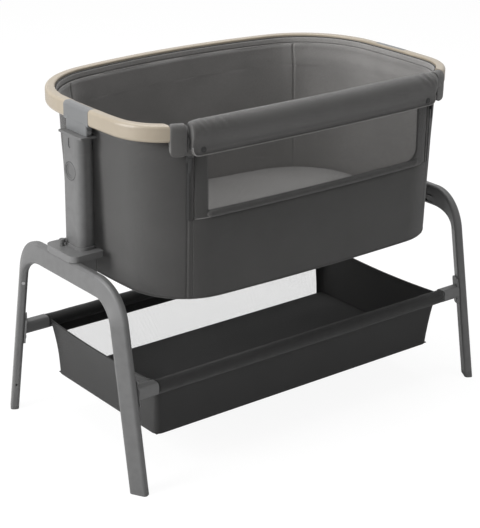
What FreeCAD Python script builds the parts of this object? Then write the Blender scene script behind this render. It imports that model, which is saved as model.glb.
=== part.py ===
# Bedside sleeper crib: a fabric tub with a drop-down front side on two telescopic posts.
# The posts stand on shoes that slide along the top bars of two leg frames, and a storage
# basket hangs between the two crossbars low in the frames.
#
# Millimetres. +Z is up, -Y is the front (the side that faces the bed), +X is to the right.
# The origin is on the floor, midway between the posts.  side is -1 for left and +1 for
# right; end is -1 for front and +1 for rear.
import FreeCAD, Part
import math
import os
import Sketcher
from FreeCAD import Placement, Rotation, Vector

os.makedirs("parts", exist_ok=True)
doc = FreeCAD.newDocument("bedside_sleeper")
sheet = doc.addObject("Spreadsheet::Sheet", "dims")

SIZES = [
    # the two leg frames
    ("frame_half", 456, "middle of a leg frame to the middle of the crib"),
    ("stand_forward", 18, "how far the leg frames stand forward of the posts"),
    ("bar_height", 396.5, "centre line of the top bars above the floor"),
    ("bar_tall", 47, "top bar section, height"),
    ("bar_thick", 18.5, "top bar section, thickness"),
    ("bar_round", 6.5, "top bar section, corner radius"),
    ("bar_wall", 2, "top bar wall"),
    ("bar_reach", 105, "half the straight length of a top bar"),
    ("slot_tall", 5, "height of the two guide slots in a top bar"),
    ("slot_reach", 104, "half the length of the guide slots"),
    ("slot_upper", 0.5, "upper slot above the bar's centre line"),
    ("slot_lower", 14.5, "lower slot below the bar's centre line"),
    ("corner_reach", 165, "where leg and top bar lines meet, from the frame's middle"),
    ("foot_reach", 238, "middle of a foot from the frame's middle"),
    ("leg_wide", 37, "leg section, width"),
    ("leg_thick", 18, "leg section, thickness"),
    ("leg_round", 6.5, "leg section, corner radius"),
    ("leg_wall", 1.8, "leg tube wall"),
    ("leg_twist", 30, "turn of the leg section against the top bar, degrees"),
    ("elbow_wall", 3, "wall of the moulded elbow's spigots"),
    ("spigot_length", 20, "how far an elbow reaches into a tube"),
    ("foot_tall", 11, "foot cap, height along the leg"),
    ("foot_plug", 18, "foot cap plug inside the leg"),
    ("pin_height", 318, "leg lock pins above the floor"),
    ("peg_height", 66, "small holes near the feet above the floor"),
    ("peg_radius", 2.5, "small holes near the feet, radius"),
    ("pin_radius", 3.6, "leg lock pins, radius"),
    ("pin_proud", 1.2, "how far the leg lock pins stand out"),
    ("push_fit", 0.15, "clearance of a pushed-in piece, each side"),
    ("slide_fit", 0.3, "clearance of a sliding piece, each side"),
    # crossbars and their sockets
    ("crossbar_height", 198.5, "centre line of the crossbars above the floor"),
    ("crossbar_radius", 10.5, "crossbar tube, radius"),
    ("crossbar_wall", 1.5, "crossbar tube wall"),
    ("socket_inner", "=frame_half - 64.5", "inner end of a crossbar socket from the middle"),
    ("socket_tall", 27, "crossbar socket, height"),
    ("socket_deep", 27, "crossbar socket, depth"),
    ("socket_round", 8, "crossbar socket, corner radius"),
    ("socket_bore", 44, "depth of the crossbar in its socket"),
    ("flange_tall", 62, "socket flange, height"),
    ("flange_wide", 38, "socket flange, width"),
    ("flange_thick", 4, "socket flange, thickness"),
    ("flange_round", 9, "socket flange, corner radius"),
    ("screw_radius", 3.6, "screw heads, radius"),
    ("screw_proud", 1.6, "screw heads, height"),
    # basket
    ("basket_half", "=socket_inner - 3.5", "basket, half length at the top"),
    ("basket_taper", 11, "how much shorter each end is at the bottom"),
    ("basket_top", 204, "basket, height of the end panels' top edge"),
    ("basket_bottom", 80, "basket, height of the bottom"),
    ("basket_inset", 18, "how much further in front and rear walls end"),
    ("basket_round", 16, "basket, corner radius"),
    ("basket_cloth", 2, "basket cloth"),
    ("sleeve_half", "=socket_inner - 1", "half length of the sleeves round the crossbars"),
    ("band_bottom", 166, "lower edge of the band along the rear wall"),
    ("board_thick", 3.5, "stiffener in the basket bottom"),
    ("cloth_gap", 0.3, "clearance between cloth and a moving neighbour"),
    # shoes, posts and collars
    ("post_inset", 39, "post centre line inboard of the top bar's centre line"),
    ("post_wide", 64, "outer post section, front to back"),
    ("post_thick", 38, "outer post section, across"),
    ("post_round", 15, "outer post section, corner radius"),
    ("post_wall", 2.5, "outer post wall"),
    ("post_top", 632, "top end of the outer post"),
    ("shoe_thick", 13, "shoe plate, thickness"),
    ("shoe_half", 53, "shoe plate, half length along the bar"),
    ("shoe_over", 12, "shoe plate past the top bar's centre line"),
    ("shoe_round", 16, "shoe plate, outer corner radius"),
    ("shoe_corner", 3, "shoe plate, inner corner radius"),
    ("skirt_thick", 2, "shoe skirt outside the top bar"),
    ("skirt_deep", 2, "how far the skirt hangs below the bar's top"),
    ("block_half", 44, "guide block under the post, half length"),
    ("block_deep", 41, "guide block, depth below the plate"),
    ("block_thick", 41, "guide block, across"),
    ("tongue_deep", 5, "guide tongues' reach into the bar's slots"),
    ("tongue_inset", 8, "guide tongues short of the block's ends"),
    ("block_round", 4, "guide block, corner radius"),
    ("shoe_under", 2, "shoe plate past the post's inner face"),
    ("boss_tall", 6, "boss round the foot of the post"),
    ("boss_wide", 3, "boss wall round the post"),
    ("collar_tall", 31, "collar on top of the outer post"),
    ("collar_plug", 8, "collar's plug inside the post"),
    ("lip_thick", 4, "collar lip plate, thickness"),
    ("lip_half", 41, "collar lip plate, half length"),
    ("lip_round", 3, "collar lip plate, corner radius"),
    ("window_tall", 20, "height mark window in the collar"),
    ("window_wide", 9, "height mark window, width"),
    ("window_deep", 1.4, "height mark window, depth"),
    ("button_radius", 15, "release button, radius"),
    ("button_height", 592, "release buttons above the floor"),
    ("button_flange", 2, "release button's retaining flange"),
    ("button_sunk", 1, "how far a button sits below the post's face"),
    ("knob_radius", 6.5, "slide lock knob, head radius"),
    ("knob_tall", 7, "slide lock knob, head height"),
    ("knob_neck", 7, "slide lock knob, height of the neck"),
    ("knob_seat", 0.2, "gap under the slide lock knob's neck"),
    ("knob_pin", 3, "slide lock knob, pin radius"),
    ("knob_along", 20, "slide lock knob behind the post centre line"),
    ("knob_inset", 10, "slide lock knob inboard of the top bar's centre line"),
    # inner posts and rim clips
    ("inner_shift", 4, "inner post inboard of the outer post's centre line"),
    ("inner_wide", 50, "inner post section, front to back"),
    ("inner_thick", 12, "inner post section, across"),
    ("inner_round", 4, "inner post section, corner radius"),
    ("inner_wall", 1.8, "inner post wall"),
    ("inner_bottom", 444, "lower end of the inner post"),
    ("inner_seat", 14, "how far the inner post reaches into its clip"),
    ("glide_tall", 18, "glide at the foot of the inner post"),
    ("neck_half", 36, "clip neck, half width"),
    ("neck_thick", 16, "clip neck, across"),
    ("clip_half", 44, "rim clip, half width"),
    ("clip_proud", 0.5, "how far the clip stands out from the rim"),
    ("clip_under", 3, "clip plate below the rim"),
    ("clip_cover", 4, "rim cover left behind a clip"),
    ("neck_round", 4, "clip neck, corner radius"),
    ("hole_pitch", 27, "spacing of the height holes"),
    # rim and tub
    ("rim_half", "=frame_half - 35", "rim outline, half length"),
    ("rim_front", 240, "rim outline, front reach"),
    ("rim_rear", 274, "rim outline, rear reach"),
    ("rim_top", 722, "top of the rim"),
    ("rim_tall", 34, "rim section, height"),
    ("rim_thick", 20, "rim section, thickness"),
    ("rim_round", 7, "rim section, outer rounding"),
    ("rim_fine", 3, "rim section, inner rounding"),
    ("core_inset", 5, "rim core inside its cover"),
    ("core_round", 3, "rim core rounding"),
    ("end_turn", 3, "half turn of the end arcs, degrees"),
    ("front_turn", 2.7, "half turn of the front arc, degrees"),
    ("rear_turn", 10, "half turn of the rear arc, degrees"),
    ("end_radius", 1800, "radius of the end arcs"),
    ("end_middle", 25, "middle of the end arcs forward of the posts"),
    ("tub_bottom", 366, "underside of the tub"),
    ("tub_shoulder", 672, "height where the cloth turns in to the rim"),
    ("tub_edge", 716, "top edge of the outer cloth inside the rim"),
    ("tub_half_low", "=rim_half - 43", "tub outline at the bottom, half length"),
    ("tub_front_low", 249, "tub outline at the bottom, front reach"),
    ("tub_rear_low", 244, "tub outline at the bottom, rear reach"),
    ("tub_half_high", "=rim_half - 28", "tub outline at the shoulder, half length"),
    ("tub_front_high", 241, "tub outline at the shoulder, front reach"),
    ("tub_rear_high", 253, "tub outline at the shoulder, rear reach"),
    ("shell_cloth", 2.5, "outer cloth of the tub"),
    ("liner_cloth", 3, "padded liner"),
    ("liner_edge", 702, "top edge of the liner"),
    ("floor_thick", 6, "tub floor board"),
    ("mattress_thick", 38, "mattress at its edge"),
    ("mattress_crown", 5, "how much higher the mattress is in the middle"),
    ("mattress_gap", 3.5, "mattress to the liner"),
    ("mattress_round", 9, "mattress edge rounding"),
    # drop side with its padded rail, and the corners beside it
    ("corner_half", "=rim_half - 67", "outer end of the corner sleeves"),
    ("sleeve_wide", 30, "corner sleeve, length along the rim"),
    ("rail_half", "=corner_half - 38", "padded rail, half length"),
    ("side_half", "=rail_half - 5", "cloth of the drop side, half length"),
    ("side_bottom", 531, "seam the drop side folds on"),
    ("side_gap", 2, "gap between a corner and the drop side"),
    ("rail_top", 724, "top of the padded rail"),
    ("rail_bottom", 660, "hem of the padded rail"),
    ("rail_proud", 8, "rail in front of the rim outline"),
    ("rail_back", 21, "rail behind the rim outline"),
    ("rail_round", 13, "rail edge rounding"),
    ("sleeve_proud", 5, "corner sleeve in front of the rim outline"),
    ("sleeve_back", 24, "corner sleeve behind the rim outline"),
    ("sleeve_round", 6, "corner sleeve, edge rounding"),
    ("mesh_half", "=side_half - 37", "mesh window, half length"),
    ("mesh_bottom", 545, "mesh window, lower edge"),
    ("mesh_round", 12, "mesh window, lower corner radius"),
    ("mesh_cloth", 1, "mesh"),
    ("roll_proud", 4, "soft roll in front of the panel"),
    ("snap_radius", 6, "snap buttons, radius"),
    ("snap_proud", 1.5, "snap buttons, height"),
    ("snap_along", "=rail_half - 27", "snap buttons from the middle"),
    ("snap_height", 674, "snap buttons above the floor"),
    ("zip_wide", 4, "zip teeth, width"),
    ("zip_proud", 1.6, "zip teeth in front of the cloth"),
    ("zip_along", "=rail_half + 1", "zip teeth from the middle"),
    ("slider_tall", 13, "zip slider, height"),
    ("slider_wide", 9, "zip slider, width"),
    ("slider_deep", 5.3, "zip slider, depth"),
    ("slider_gap", 0.6, "clearance of a zip slider over the cloth"),
    ("puller_tall", 26, "zip puller, length"),
    ("puller_wide", 4.4, "zip puller, width"),
    ("puller_thick", 1.6, "zip puller, thickness"),
]


class Dim:
    """A size, or sizes combined: its number now and its expression on the sheet."""

    def __init__(self, expression, number):
        self.expression, self.number = expression, number

    @staticmethod
    def of(other):
        return other if isinstance(other, Dim) else Dim("%.6g" % other, float(other))

    def combine(self, other, sign, number):
        return Dim("(%s %s %s)" % (self.expression, sign, Dim.of(other).expression), number)

    def __add__(self, other):
        return self.combine(other, "+", self.number + float(other))

    def __sub__(self, other):
        return self.combine(other, "-", self.number - float(other))

    def __mul__(self, other):
        return self.combine(other, "*", self.number * float(other))

    def __truediv__(self, other):
        return self.combine(other, "/", self.number / float(other))

    def __float__(self):
        return self.number


class Sizes:
    """Reads the sheet: size.post_wide is the Dim of the cell with that alias."""

    def __getattr__(self, alias):
        return Dim("dims.%s" % alias, float(sheet.get(alias)))


for row, (alias, value, note) in enumerate(SIZES, 1):
    sheet.set("A%d" % row, note)
    sheet.set("B%d" % row, str(value))
    sheet.setAlias("B%d" % row, alias)
doc.recompute()
size = Sizes()
mm = {alias: float(sheet.get(alias)) for alias, value, note in SIZES}
nodes = []
BEYOND = 5  # how far a cutting shape runs past what it cuts
SIDES = (("left", -1), ("right", 1))
ENDS = (("front", -1), ("rear", 1))


def keep(obj, label):
    """Gives a finished piece its name and marks it for export."""
    obj.Label = label
    nodes.append(obj)
    return obj


# ---------------------------------------------------------------- sketches and features
def new_body(label):
    body = doc.addObject("PartDesign::Body", label)
    return keep(body, label)


def new_sketch(body, name, role, offset=None):
    plane = [f for f in body.Origin.OriginFeatures if f.Role == role][0]
    sketch = body.newObject("Sketcher::SketchObject", name)
    sketch.AttachmentSupport = [(plane, "")]
    sketch.MapMode = "FlatFace"
    if offset is not None:
        sketch.AttachmentOffset = offset
    return sketch


def dimension(sketch, name, kind, *args):
    """Adds a driving dimension whose last argument is a Dim, bound to the sheet."""
    index = sketch.addConstraint(Sketcher.Constraint(kind, *args[:-1], float(args[-1])))
    sketch.renameConstraint(index, name)
    sketch.setExpression("Constraints." + name, Dim.of(args[-1]).expression)


def add_rounded(sketch, wide, tall, corner, tag="", x=0.0, y=0.0):
    """Rounded rectangle round (x, y), four lines and four tangent arcs, fully bound."""
    wide, tall, corner, x, y = (Dim.of(v) for v in (wide, tall, corner, x, y))
    r = float(corner)
    x0, x1 = float(x) - float(wide) / 2, float(x) + float(wide) / 2
    y0, y1 = float(y) - float(tall) / 2, float(y) + float(tall) / 2
    corners = [(x1 - r, y0 + r, 270), (x1 - r, y1 - r, 0), (x0 + r, y1 - r, 90),
               (x0 + r, y0 + r, 180)]
    lines = [((x0 + r, y0), (x1 - r, y0)), ((x1, y0 + r), (x1, y1 - r)),
             ((x1 - r, y1), (x0 + r, y1)), ((x0, y1 - r), (x0, y0 + r))]
    ids = []
    for (start, stop), (cx, cy, turn) in zip(lines, corners):
        line = Part.LineSegment(Vector(*start, 0), Vector(*stop, 0))
        circle = Part.Circle(Vector(cx, cy, 0), Vector(0, 0, 1), r)
        arc = Part.ArcOfCircle(circle, math.radians(turn), math.radians(turn + 90))
        ids += [sketch.addGeometry(line, False), sketch.addGeometry(arc, False)]
    for k in range(8):
        one, two = ids[k], ids[(k + 1) % 8]
        sketch.addConstraint(Sketcher.Constraint("Tangent", one, 2, two, 1))
    for k, kind in ((0, "Horizontal"), (2, "Vertical"), (4, "Horizontal"), (6, "Vertical")):
        sketch.addConstraint(Sketcher.Constraint(kind, ids[k]))
    for k in (3, 5, 7):
        sketch.addConstraint(Sketcher.Constraint("Equal", ids[1], ids[k]))
    dimension(sketch, tag + "corner", "Radius", ids[1], corner)
    dimension(sketch, tag + "to_right", "DistanceX", -1, 1, ids[2], 1, wide / 2 + x)
    dimension(sketch, tag + "wide", "DistanceX", ids[6], 1, ids[2], 1, wide)
    dimension(sketch, tag + "to_top", "DistanceY", -1, 1, ids[4], 1, tall / 2 + y)
    dimension(sketch, tag + "tall", "DistanceY", ids[0], 1, ids[4], 1, tall)
    return sketch


def add_circle(sketch, radius, tag="", x=0.0, y=0.0):
    x, y = Dim.of(x), Dim.of(y)
    centre = Vector(float(x), float(y), 0)
    ring = sketch.addGeometry(Part.Circle(centre, Vector(0, 0, 1), float(radius)), False)
    dimension(sketch, tag + "radius", "Radius", ring, radius)
    if abs(float(x)) < 1e-9 and abs(float(y)) < 1e-9:
        sketch.addConstraint(Sketcher.Constraint("Coincident", ring, 3, -1, 1))
        return sketch
    for name, kind, value in (("along", "DistanceX", x), ("up", "DistanceY", y)):
        if abs(float(value)) < 1e-9:
            other = "PointOnObject"
            sketch.addConstraint(Sketcher.Constraint(other, ring, 3, -2 if kind == "DistanceX"
                                                     else -1))
        else:
            dimension(sketch, tag + name, kind, -1, 1, ring, 3, value)
    return sketch


def feature(body, kind, name, sketch, length, reverse=False):
    """Pad or Pocket of a sketch, with its length bound to the sheet."""
    made = body.newObject("PartDesign::" + kind, name)
    made.Profile = sketch
    made.setExpression("Length", Dim.of(length).expression)
    made.Reversed = reverse
    body.Tip = made
    return made


def pad(body, name, sketch, length, reverse=False):
    return feature(body, "Pad", name, sketch, length, reverse)


def pocket(body, name, sketch, length, reverse=False):
    """A Pocket that must take something away."""
    doc.recompute()
    before = body.Shape.Volume
    made = feature(body, "Pocket", name, sketch, length, reverse)
    doc.recompute()
    if not body.Shape.Volume < before - 1e-3:
        raise ValueError(body.Label + ": " + name + " cuts nothing")
    return made


def round_edges(body, name, radius, wanted):
    """Fillet of the edges of the body's tip for which wanted(edge) is true."""
    doc.recompute()
    tip = body.Tip
    names = ["Edge%d" % (k + 1) for k, e in enumerate(tip.Shape.Edges) if wanted(e)]
    if not names:
        raise ValueError(body.Label + ": no edge for " + name)
    fillet = body.newObject("PartDesign::Fillet", name)
    fillet.Base = (tip, names)
    fillet.setExpression("Radius", Dim.of(radius).expression)
    body.Tip = fillet
    return fillet


def at(x=0.0, y=0.0, z=0.0, axis=(0, 0, 1), turn=0.0):
    return Placement(Vector(x, y, z), Rotation(Vector(*axis), turn))


def level(z, tolerance=0.01):
    """Chooses the edges that lie flat at height z of the body's own frame."""
    return lambda e: abs(e.BoundBox.ZMin - z) < tolerance and abs(e.BoundBox.ZMax - z) < tolerance


# ---------------------------------------------------------------- Part objects
def box(name, x, y, z, centre):
    """Part::Box of bound sizes round the point centre."""
    made = doc.addObject("Part::Box", name)
    for prop, value in (("Length", x), ("Width", y), ("Height", z)):
        made.setExpression(prop, Dim.of(value).expression)
    made.Placement = at(centre[0] - float(x) / 2, centre[1] - float(y) / 2,
                        centre[2] - float(z) / 2)
    return made


def cylinder(name, radius, height, placement):
    made = doc.addObject("Part::Cylinder", name)
    made.setExpression("Radius", Dim.of(radius).expression)
    made.setExpression("Height", Dim.of(height).expression)
    made.Placement = placement
    return made


def boolean(kind, name, base, tool):
    made = doc.addObject("Part::" + kind, name)
    made.Base, made.Tool = base, tool
    return made


def solid_feature(label, shape):
    """A Part::Feature for a free-form piece, its sizes read from the sheet above."""
    made = doc.addObject("Part::Feature", label)
    made.Shape = shape
    made.Placement = Placement()
    return keep(made, label)


def block(x0, x1, y0, y1, z0, z1):
    return Part.makeBox(x1 - x0, y1 - y0, z1 - z0, Vector(x0, y0, z0))


def one_solid(shape):
    """The largest solid of a boolean's result, cleaned of split faces."""
    shape = shape.removeSplitter()
    return max(shape.Solids, key=lambda s: s.Volume)


# ---------------------------------------------------------------- leg frame geometry
STAND_Y = -mm["stand_forward"]
LEAN = math.atan((mm["foot_reach"] - mm["corner_reach"]) / mm["bar_height"])
BEND = math.pi / 2 - LEAN
TANGENT = mm["corner_reach"] - mm["bar_reach"]
ELBOW_RADIUS = TANGENT / math.tan(BEND / 2)
BAR_TOP = mm["bar_height"] + mm["bar_tall"] / 2
ELBOW_STEPS = 6


def section_frame(side, end, angle, twist, origin):
    """Placement whose local Z runs against the bend's direction of travel, local X across
    the thin way of the section, turned by twist from straight outwards."""
    z_axis = Vector(0, -end * math.cos(angle), math.sin(angle))
    in_plane = Vector(0, math.sin(angle), end * math.cos(angle))
    x_axis = Vector(side, 0, 0) * math.cos(twist) + in_plane * (end * math.sin(twist))
    y_axis = z_axis.cross(x_axis)
    return Placement(origin, Rotation(x_axis, y_axis, z_axis, "XYZ"))


def leg_point(side, end, height):
    """Point of a leg's centre line at the given height."""
    y = mm["foot_reach"] - height * math.tan(LEAN)
    return Vector(side * mm["frame_half"], STAND_Y + end * y, height)


def leg_frame(side, end, height):
    twist = math.radians(mm["leg_twist"])
    return section_frame(side, end, BEND, twist, leg_point(side, end, height))


def elbow_frame(side, end, part):
    """Frame of the elbow's section after the given part, 0 to 1, of its bend."""
    angle = BEND * part
    y = mm["bar_reach"] + ELBOW_RADIUS * math.sin(angle)
    z = mm["bar_height"] - ELBOW_RADIUS * (1 - math.cos(angle))
    ease = part * part * (3 - 2 * part)
    origin = Vector(side * mm["frame_half"], STAND_Y + end * y, z)
    return section_frame(side, end, angle, math.radians(mm["leg_twist"]) * ease, origin)


def build_top_bar(name, side):
    """Rounded hollow bar with two guide slots in its inner face."""
    body = new_body("top_bar_" + name)
    start = STAND_Y + mm["bar_reach"]
    body.Placement = at(side * mm["frame_half"], start, mm["bar_height"])
    ring = new_sketch(body, "bar_section", "XZ_Plane")
    add_rounded(ring, size.bar_thick, size.bar_tall, size.bar_round, "outer_")
    wall = size.bar_wall * 2
    add_rounded(ring, size.bar_thick - wall, size.bar_tall - wall,
                size.bar_round - size.bar_wall, "inner_")
    pad(body, "bar", ring, size.bar_reach * 2)
    slots = new_sketch(body, "slots", "YZ_Plane")
    middle = Dim.of(0) - size.bar_reach
    add_rounded(slots, size.slot_reach * 2, size.slot_tall, size.slot_tall / 2.001, "upper_",
                middle, size.slot_upper)
    add_rounded(slots, size.slot_reach * 2, size.slot_tall, size.slot_tall / 2.001, "lower_",
                middle, Dim.of(0) - size.slot_lower)
    pocket(body, "slots_cut", slots, size.bar_thick, reverse=side < 0)


def build_elbow(side_name, side, end_name, end):
    """Moulded corner: the bar's upright section turns and shrinks to the leg's on the way
    round the bend. Spigots reach into both tubes."""
    body = new_body("elbow_%s_%s" % (end_name, side_name))
    body.Placement = Placement()
    sections = []
    for k in range(ELBOW_STEPS + 1):
        part = k / ELBOW_STEPS
        ease = part * part * (3 - 2 * part)
        sketch = new_sketch(body, "section_%d" % k, "XY_Plane", elbow_frame(side, end, part))
        add_rounded(sketch, size.bar_thick + (size.leg_thick - size.bar_thick) * ease,
                    size.bar_tall + (size.leg_wide - size.bar_tall) * ease,
                    size.bar_round + (size.leg_round - size.bar_round) * ease)
        sections.append(sketch)
    loft = body.newObject("PartDesign::AdditiveLoft", "bend")
    loft.Profile = sections[0]
    loft.Sections = sections[1:]
    body.Tip = loft
    spare = size.push_fit * 2
    for k, thick, tall, corner, wall in (
            (0, size.bar_thick, size.bar_tall, size.bar_round, size.bar_wall),
            (ELBOW_STEPS, size.leg_thick, size.leg_wide, size.leg_round, size.leg_wall)):
        sketch = new_sketch(body, "spigot_%d" % k, "XY_Plane",
                            elbow_frame(side, end, k / ELBOW_STEPS))
        add_rounded(sketch, thick - wall * 2 - spare, tall - wall * 2 - spare, corner - wall)
        pad(body, "spigot_pad_%d" % k, sketch, size.spigot_length, reverse=k > 0)


def inward_face(frame, end):
    """Sign of the local Y that faces the other leg of the same frame."""
    return 1 if frame.Rotation.multVec(Vector(0, 1, 0)).y * end < 0 else -1


def build_leg(side_name, side, end_name, end):
    """Tube from the foot cap to the elbow, turned out of the frame's plane, with a small
    hole low in its inward face."""
    body = new_body("leg_%s_%s" % (end_name, side_name))
    frame = leg_frame(side, end, 0)
    reach = mm["bar_height"] / math.cos(LEAN) - TANGENT - mm["foot_tall"]
    body.Placement = frame.multiply(at(0, 0, mm["foot_tall"]))
    ring = new_sketch(body, "leg_section", "XY_Plane")
    add_rounded(ring, size.leg_thick, size.leg_wide, size.leg_round, "outer_")
    wall = size.leg_wall * 2
    add_rounded(ring, size.leg_thick - wall, size.leg_wide - wall,
                size.leg_round - size.leg_wall, "inner_")
    pad(body, "leg", ring, reach)
    inward = inward_face(frame, end)
    beyond = mm["leg_wall"]
    hole = new_sketch(body, "peg_hole", "XZ_Plane",
                      at(0, 0, -inward * (mm["leg_wide"] / 2 + beyond)))
    add_circle(hole, size.peg_radius, "", 0, size.peg_height / math.cos(LEAN) - size.foot_tall)
    pocket(body, "peg_hole_cut", hole, size.leg_wall + beyond * 1.5, reverse=inward > 0)


def build_foot(side_name, side, end_name, end):
    """End cap, level on the floor, with a plug up into the leg."""
    blank = doc.addObject("PartDesign::Body", "foot_blank_%s_%s" % (end_name, side_name))
    frame = leg_frame(side, end, 0)
    blank.Placement = frame.multiply(at(0, 0, mm["foot_tall"]))
    outer = new_sketch(blank, "cap_section", "XY_Plane")
    add_rounded(outer, size.leg_thick, size.leg_wide, size.leg_round)
    pad(blank, "cap", outer, size.foot_tall * 2, reverse=True)
    inner = new_sketch(blank, "plug_section", "XY_Plane")
    spare = (size.leg_wall + size.push_fit) * 2
    add_rounded(inner, size.leg_thick - spare, size.leg_wide - spare,
                size.leg_round - size.leg_wall)
    pad(blank, "plug", inner, size.foot_plug)
    point = leg_point(side, end, 0)
    floor = box("floor_%s_%s" % (end_name, side_name), size.leg_wide * 3, size.leg_wide * 3,
                size.foot_tall * 3, (point.x, point.y, -mm["foot_tall"] * 1.5))
    name = "foot_%s_%s" % (end_name, side_name)
    keep(boolean("Cut", name, blank, floor), name)


def build_socket(side_name, side, end_name, end):
    """Flange on the leg's inner wide face with a stub that takes the crossbar."""
    tag = "%s_%s" % (end_name, side_name)
    centre = leg_point(side, end, mm["crossbar_height"])
    frame = leg_frame(side, end, mm["crossbar_height"])
    flange = doc.addObject("PartDesign::Body", "flange_" + tag)
    flange.Placement = frame
    face = new_sketch(flange, "flange_section", "YZ_Plane",
                      at(0, 0, -mm["leg_thick"] / 2))
    add_rounded(face, size.flange_wide, size.flange_tall, size.flange_round)
    pad(flange, "flange_plate", face, size.flange_thick, reverse=True)
    stub = doc.addObject("PartDesign::Body", "stub_" + tag)
    inner = mm["socket_inner"]
    stub.Placement = at(side * inner, centre.y, centre.z, (0, 0, 1), 0 if side > 0 else 180)
    ring = new_sketch(stub, "stub_section", "YZ_Plane")
    add_rounded(ring, size.socket_deep, size.socket_tall, size.socket_round)
    pad(stub, "stub_pad", ring, size.frame_half - size.socket_inner)
    bore = new_sketch(stub, "stub_bore", "YZ_Plane")
    add_circle(bore, size.crossbar_radius + size.push_fit)
    pocket(stub, "stub_bore_cut", bore, size.socket_bore, reverse=True)
    wide, tall = size.socket_deep * 4, size.flange_tall * 3
    half = box("leg_side_" + tag, wide, wide, tall, (0, 0, 0))
    half.Placement = frame.multiply(at(-mm["leg_thick"] / 2, -float(wide) / 2,
                                       -float(tall) / 2))
    trimmed = boolean("Cut", "stub_trim_" + tag, stub, half)
    return keep(boolean("Fuse", "socket_" + tag, trimmed, flange), "socket_" + tag)


def build_crossbar(end_name, end):
    """Steel tube between the sockets of the two leg frames."""
    body = new_body("crossbar_" + end_name)
    centre = leg_point(1, end, mm["crossbar_height"])
    reach = size.socket_inner + size.socket_bore
    body.Placement = at(-float(reach), centre.y, centre.z)
    ring = new_sketch(body, "tube_section", "YZ_Plane")
    add_circle(ring, size.crossbar_radius, "outer_")
    add_circle(ring, size.crossbar_radius - size.crossbar_wall, "inner_")
    pad(body, "tube", ring, reach * 2)


def build_group(label, pieces):
    """Identical fasteners as one node: a compound of separate solids."""
    group = doc.addObject("Part::Compound", label)
    group.Links = pieces
    keep(group, label)


def build_leg_pins():
    """Spring pins on the legs' narrow faces, facing each other across a frame."""
    pins = []
    for side_name, side in SIDES:
        for end_name, end in ENDS:
            frame = leg_frame(side, end, mm["pin_height"])
            inward = inward_face(frame, end)
            turn = Placement(Vector(0, inward * mm["leg_wide"] / 2, 0),
                             Rotation(Vector(1, 0, 0), -90 * inward))
            pin = cylinder("leg_pin_%s_%s" % (end_name, side_name), size.pin_radius,
                           size.pin_proud, frame.multiply(turn))
            pins.append(pin)
    build_group("leg_pins", pins)


def build_socket_screws():
    """One screw low on each socket flange."""
    heads = []
    for side_name, side in SIDES:
        for end_name, end in ENDS:
            frame = leg_frame(side, end, mm["crossbar_height"])
            depth = -mm["leg_thick"] / 2 - mm["flange_thick"]
            turn = Placement(Vector(depth, 0, -mm["flange_tall"] / 2 + mm["flange_round"]),
                             Rotation(Vector(0, 1, 0), -90))
            heads.append(cylinder("socket_screw_%s_%s" % (end_name, side_name),
                                  size.screw_radius, size.screw_proud, frame.multiply(turn)))
    build_group("socket_screws", heads)


# ---------------------------------------------------------------- storage basket
def rounded_outline(x, y0, y1, z, corner):
    """Closed wire of a rounded rectangle, x either way and y0 to y1, at height z."""
    plate = Part.makeBox(2 * x, y1 - y0, 1, Vector(-x, y0, z))
    plate = plate.makeFillet(corner, [e for e in plate.Edges if e.BoundBox.ZLength > 0.5])
    face = min(plate.Faces, key=lambda f: f.CenterOfMass.z)
    return face.OuterWire


def basket_solid(inset, bottom):
    """The basket's tapering block, drawn in by inset on every side."""
    bar = leg_point(1, 1, mm["crossbar_height"]).y - STAND_Y
    slope = (mm["basket_top"] - bottom) / (mm["basket_top"] - mm["basket_bottom"])
    top_x = mm["basket_half"] - inset
    top_y = bar - inset
    low_x = top_x - mm["basket_taper"] * slope
    low_y = top_y - mm["basket_inset"] * slope
    corner = mm["basket_round"] - inset
    return Part.makeLoft([rounded_outline(low_x, STAND_Y - low_y, STAND_Y + low_y, bottom,
                                          corner),
                          rounded_outline(top_x, STAND_Y - top_y, STAND_Y + top_y,
                                          mm["basket_top"], corner)], True, True)


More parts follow.
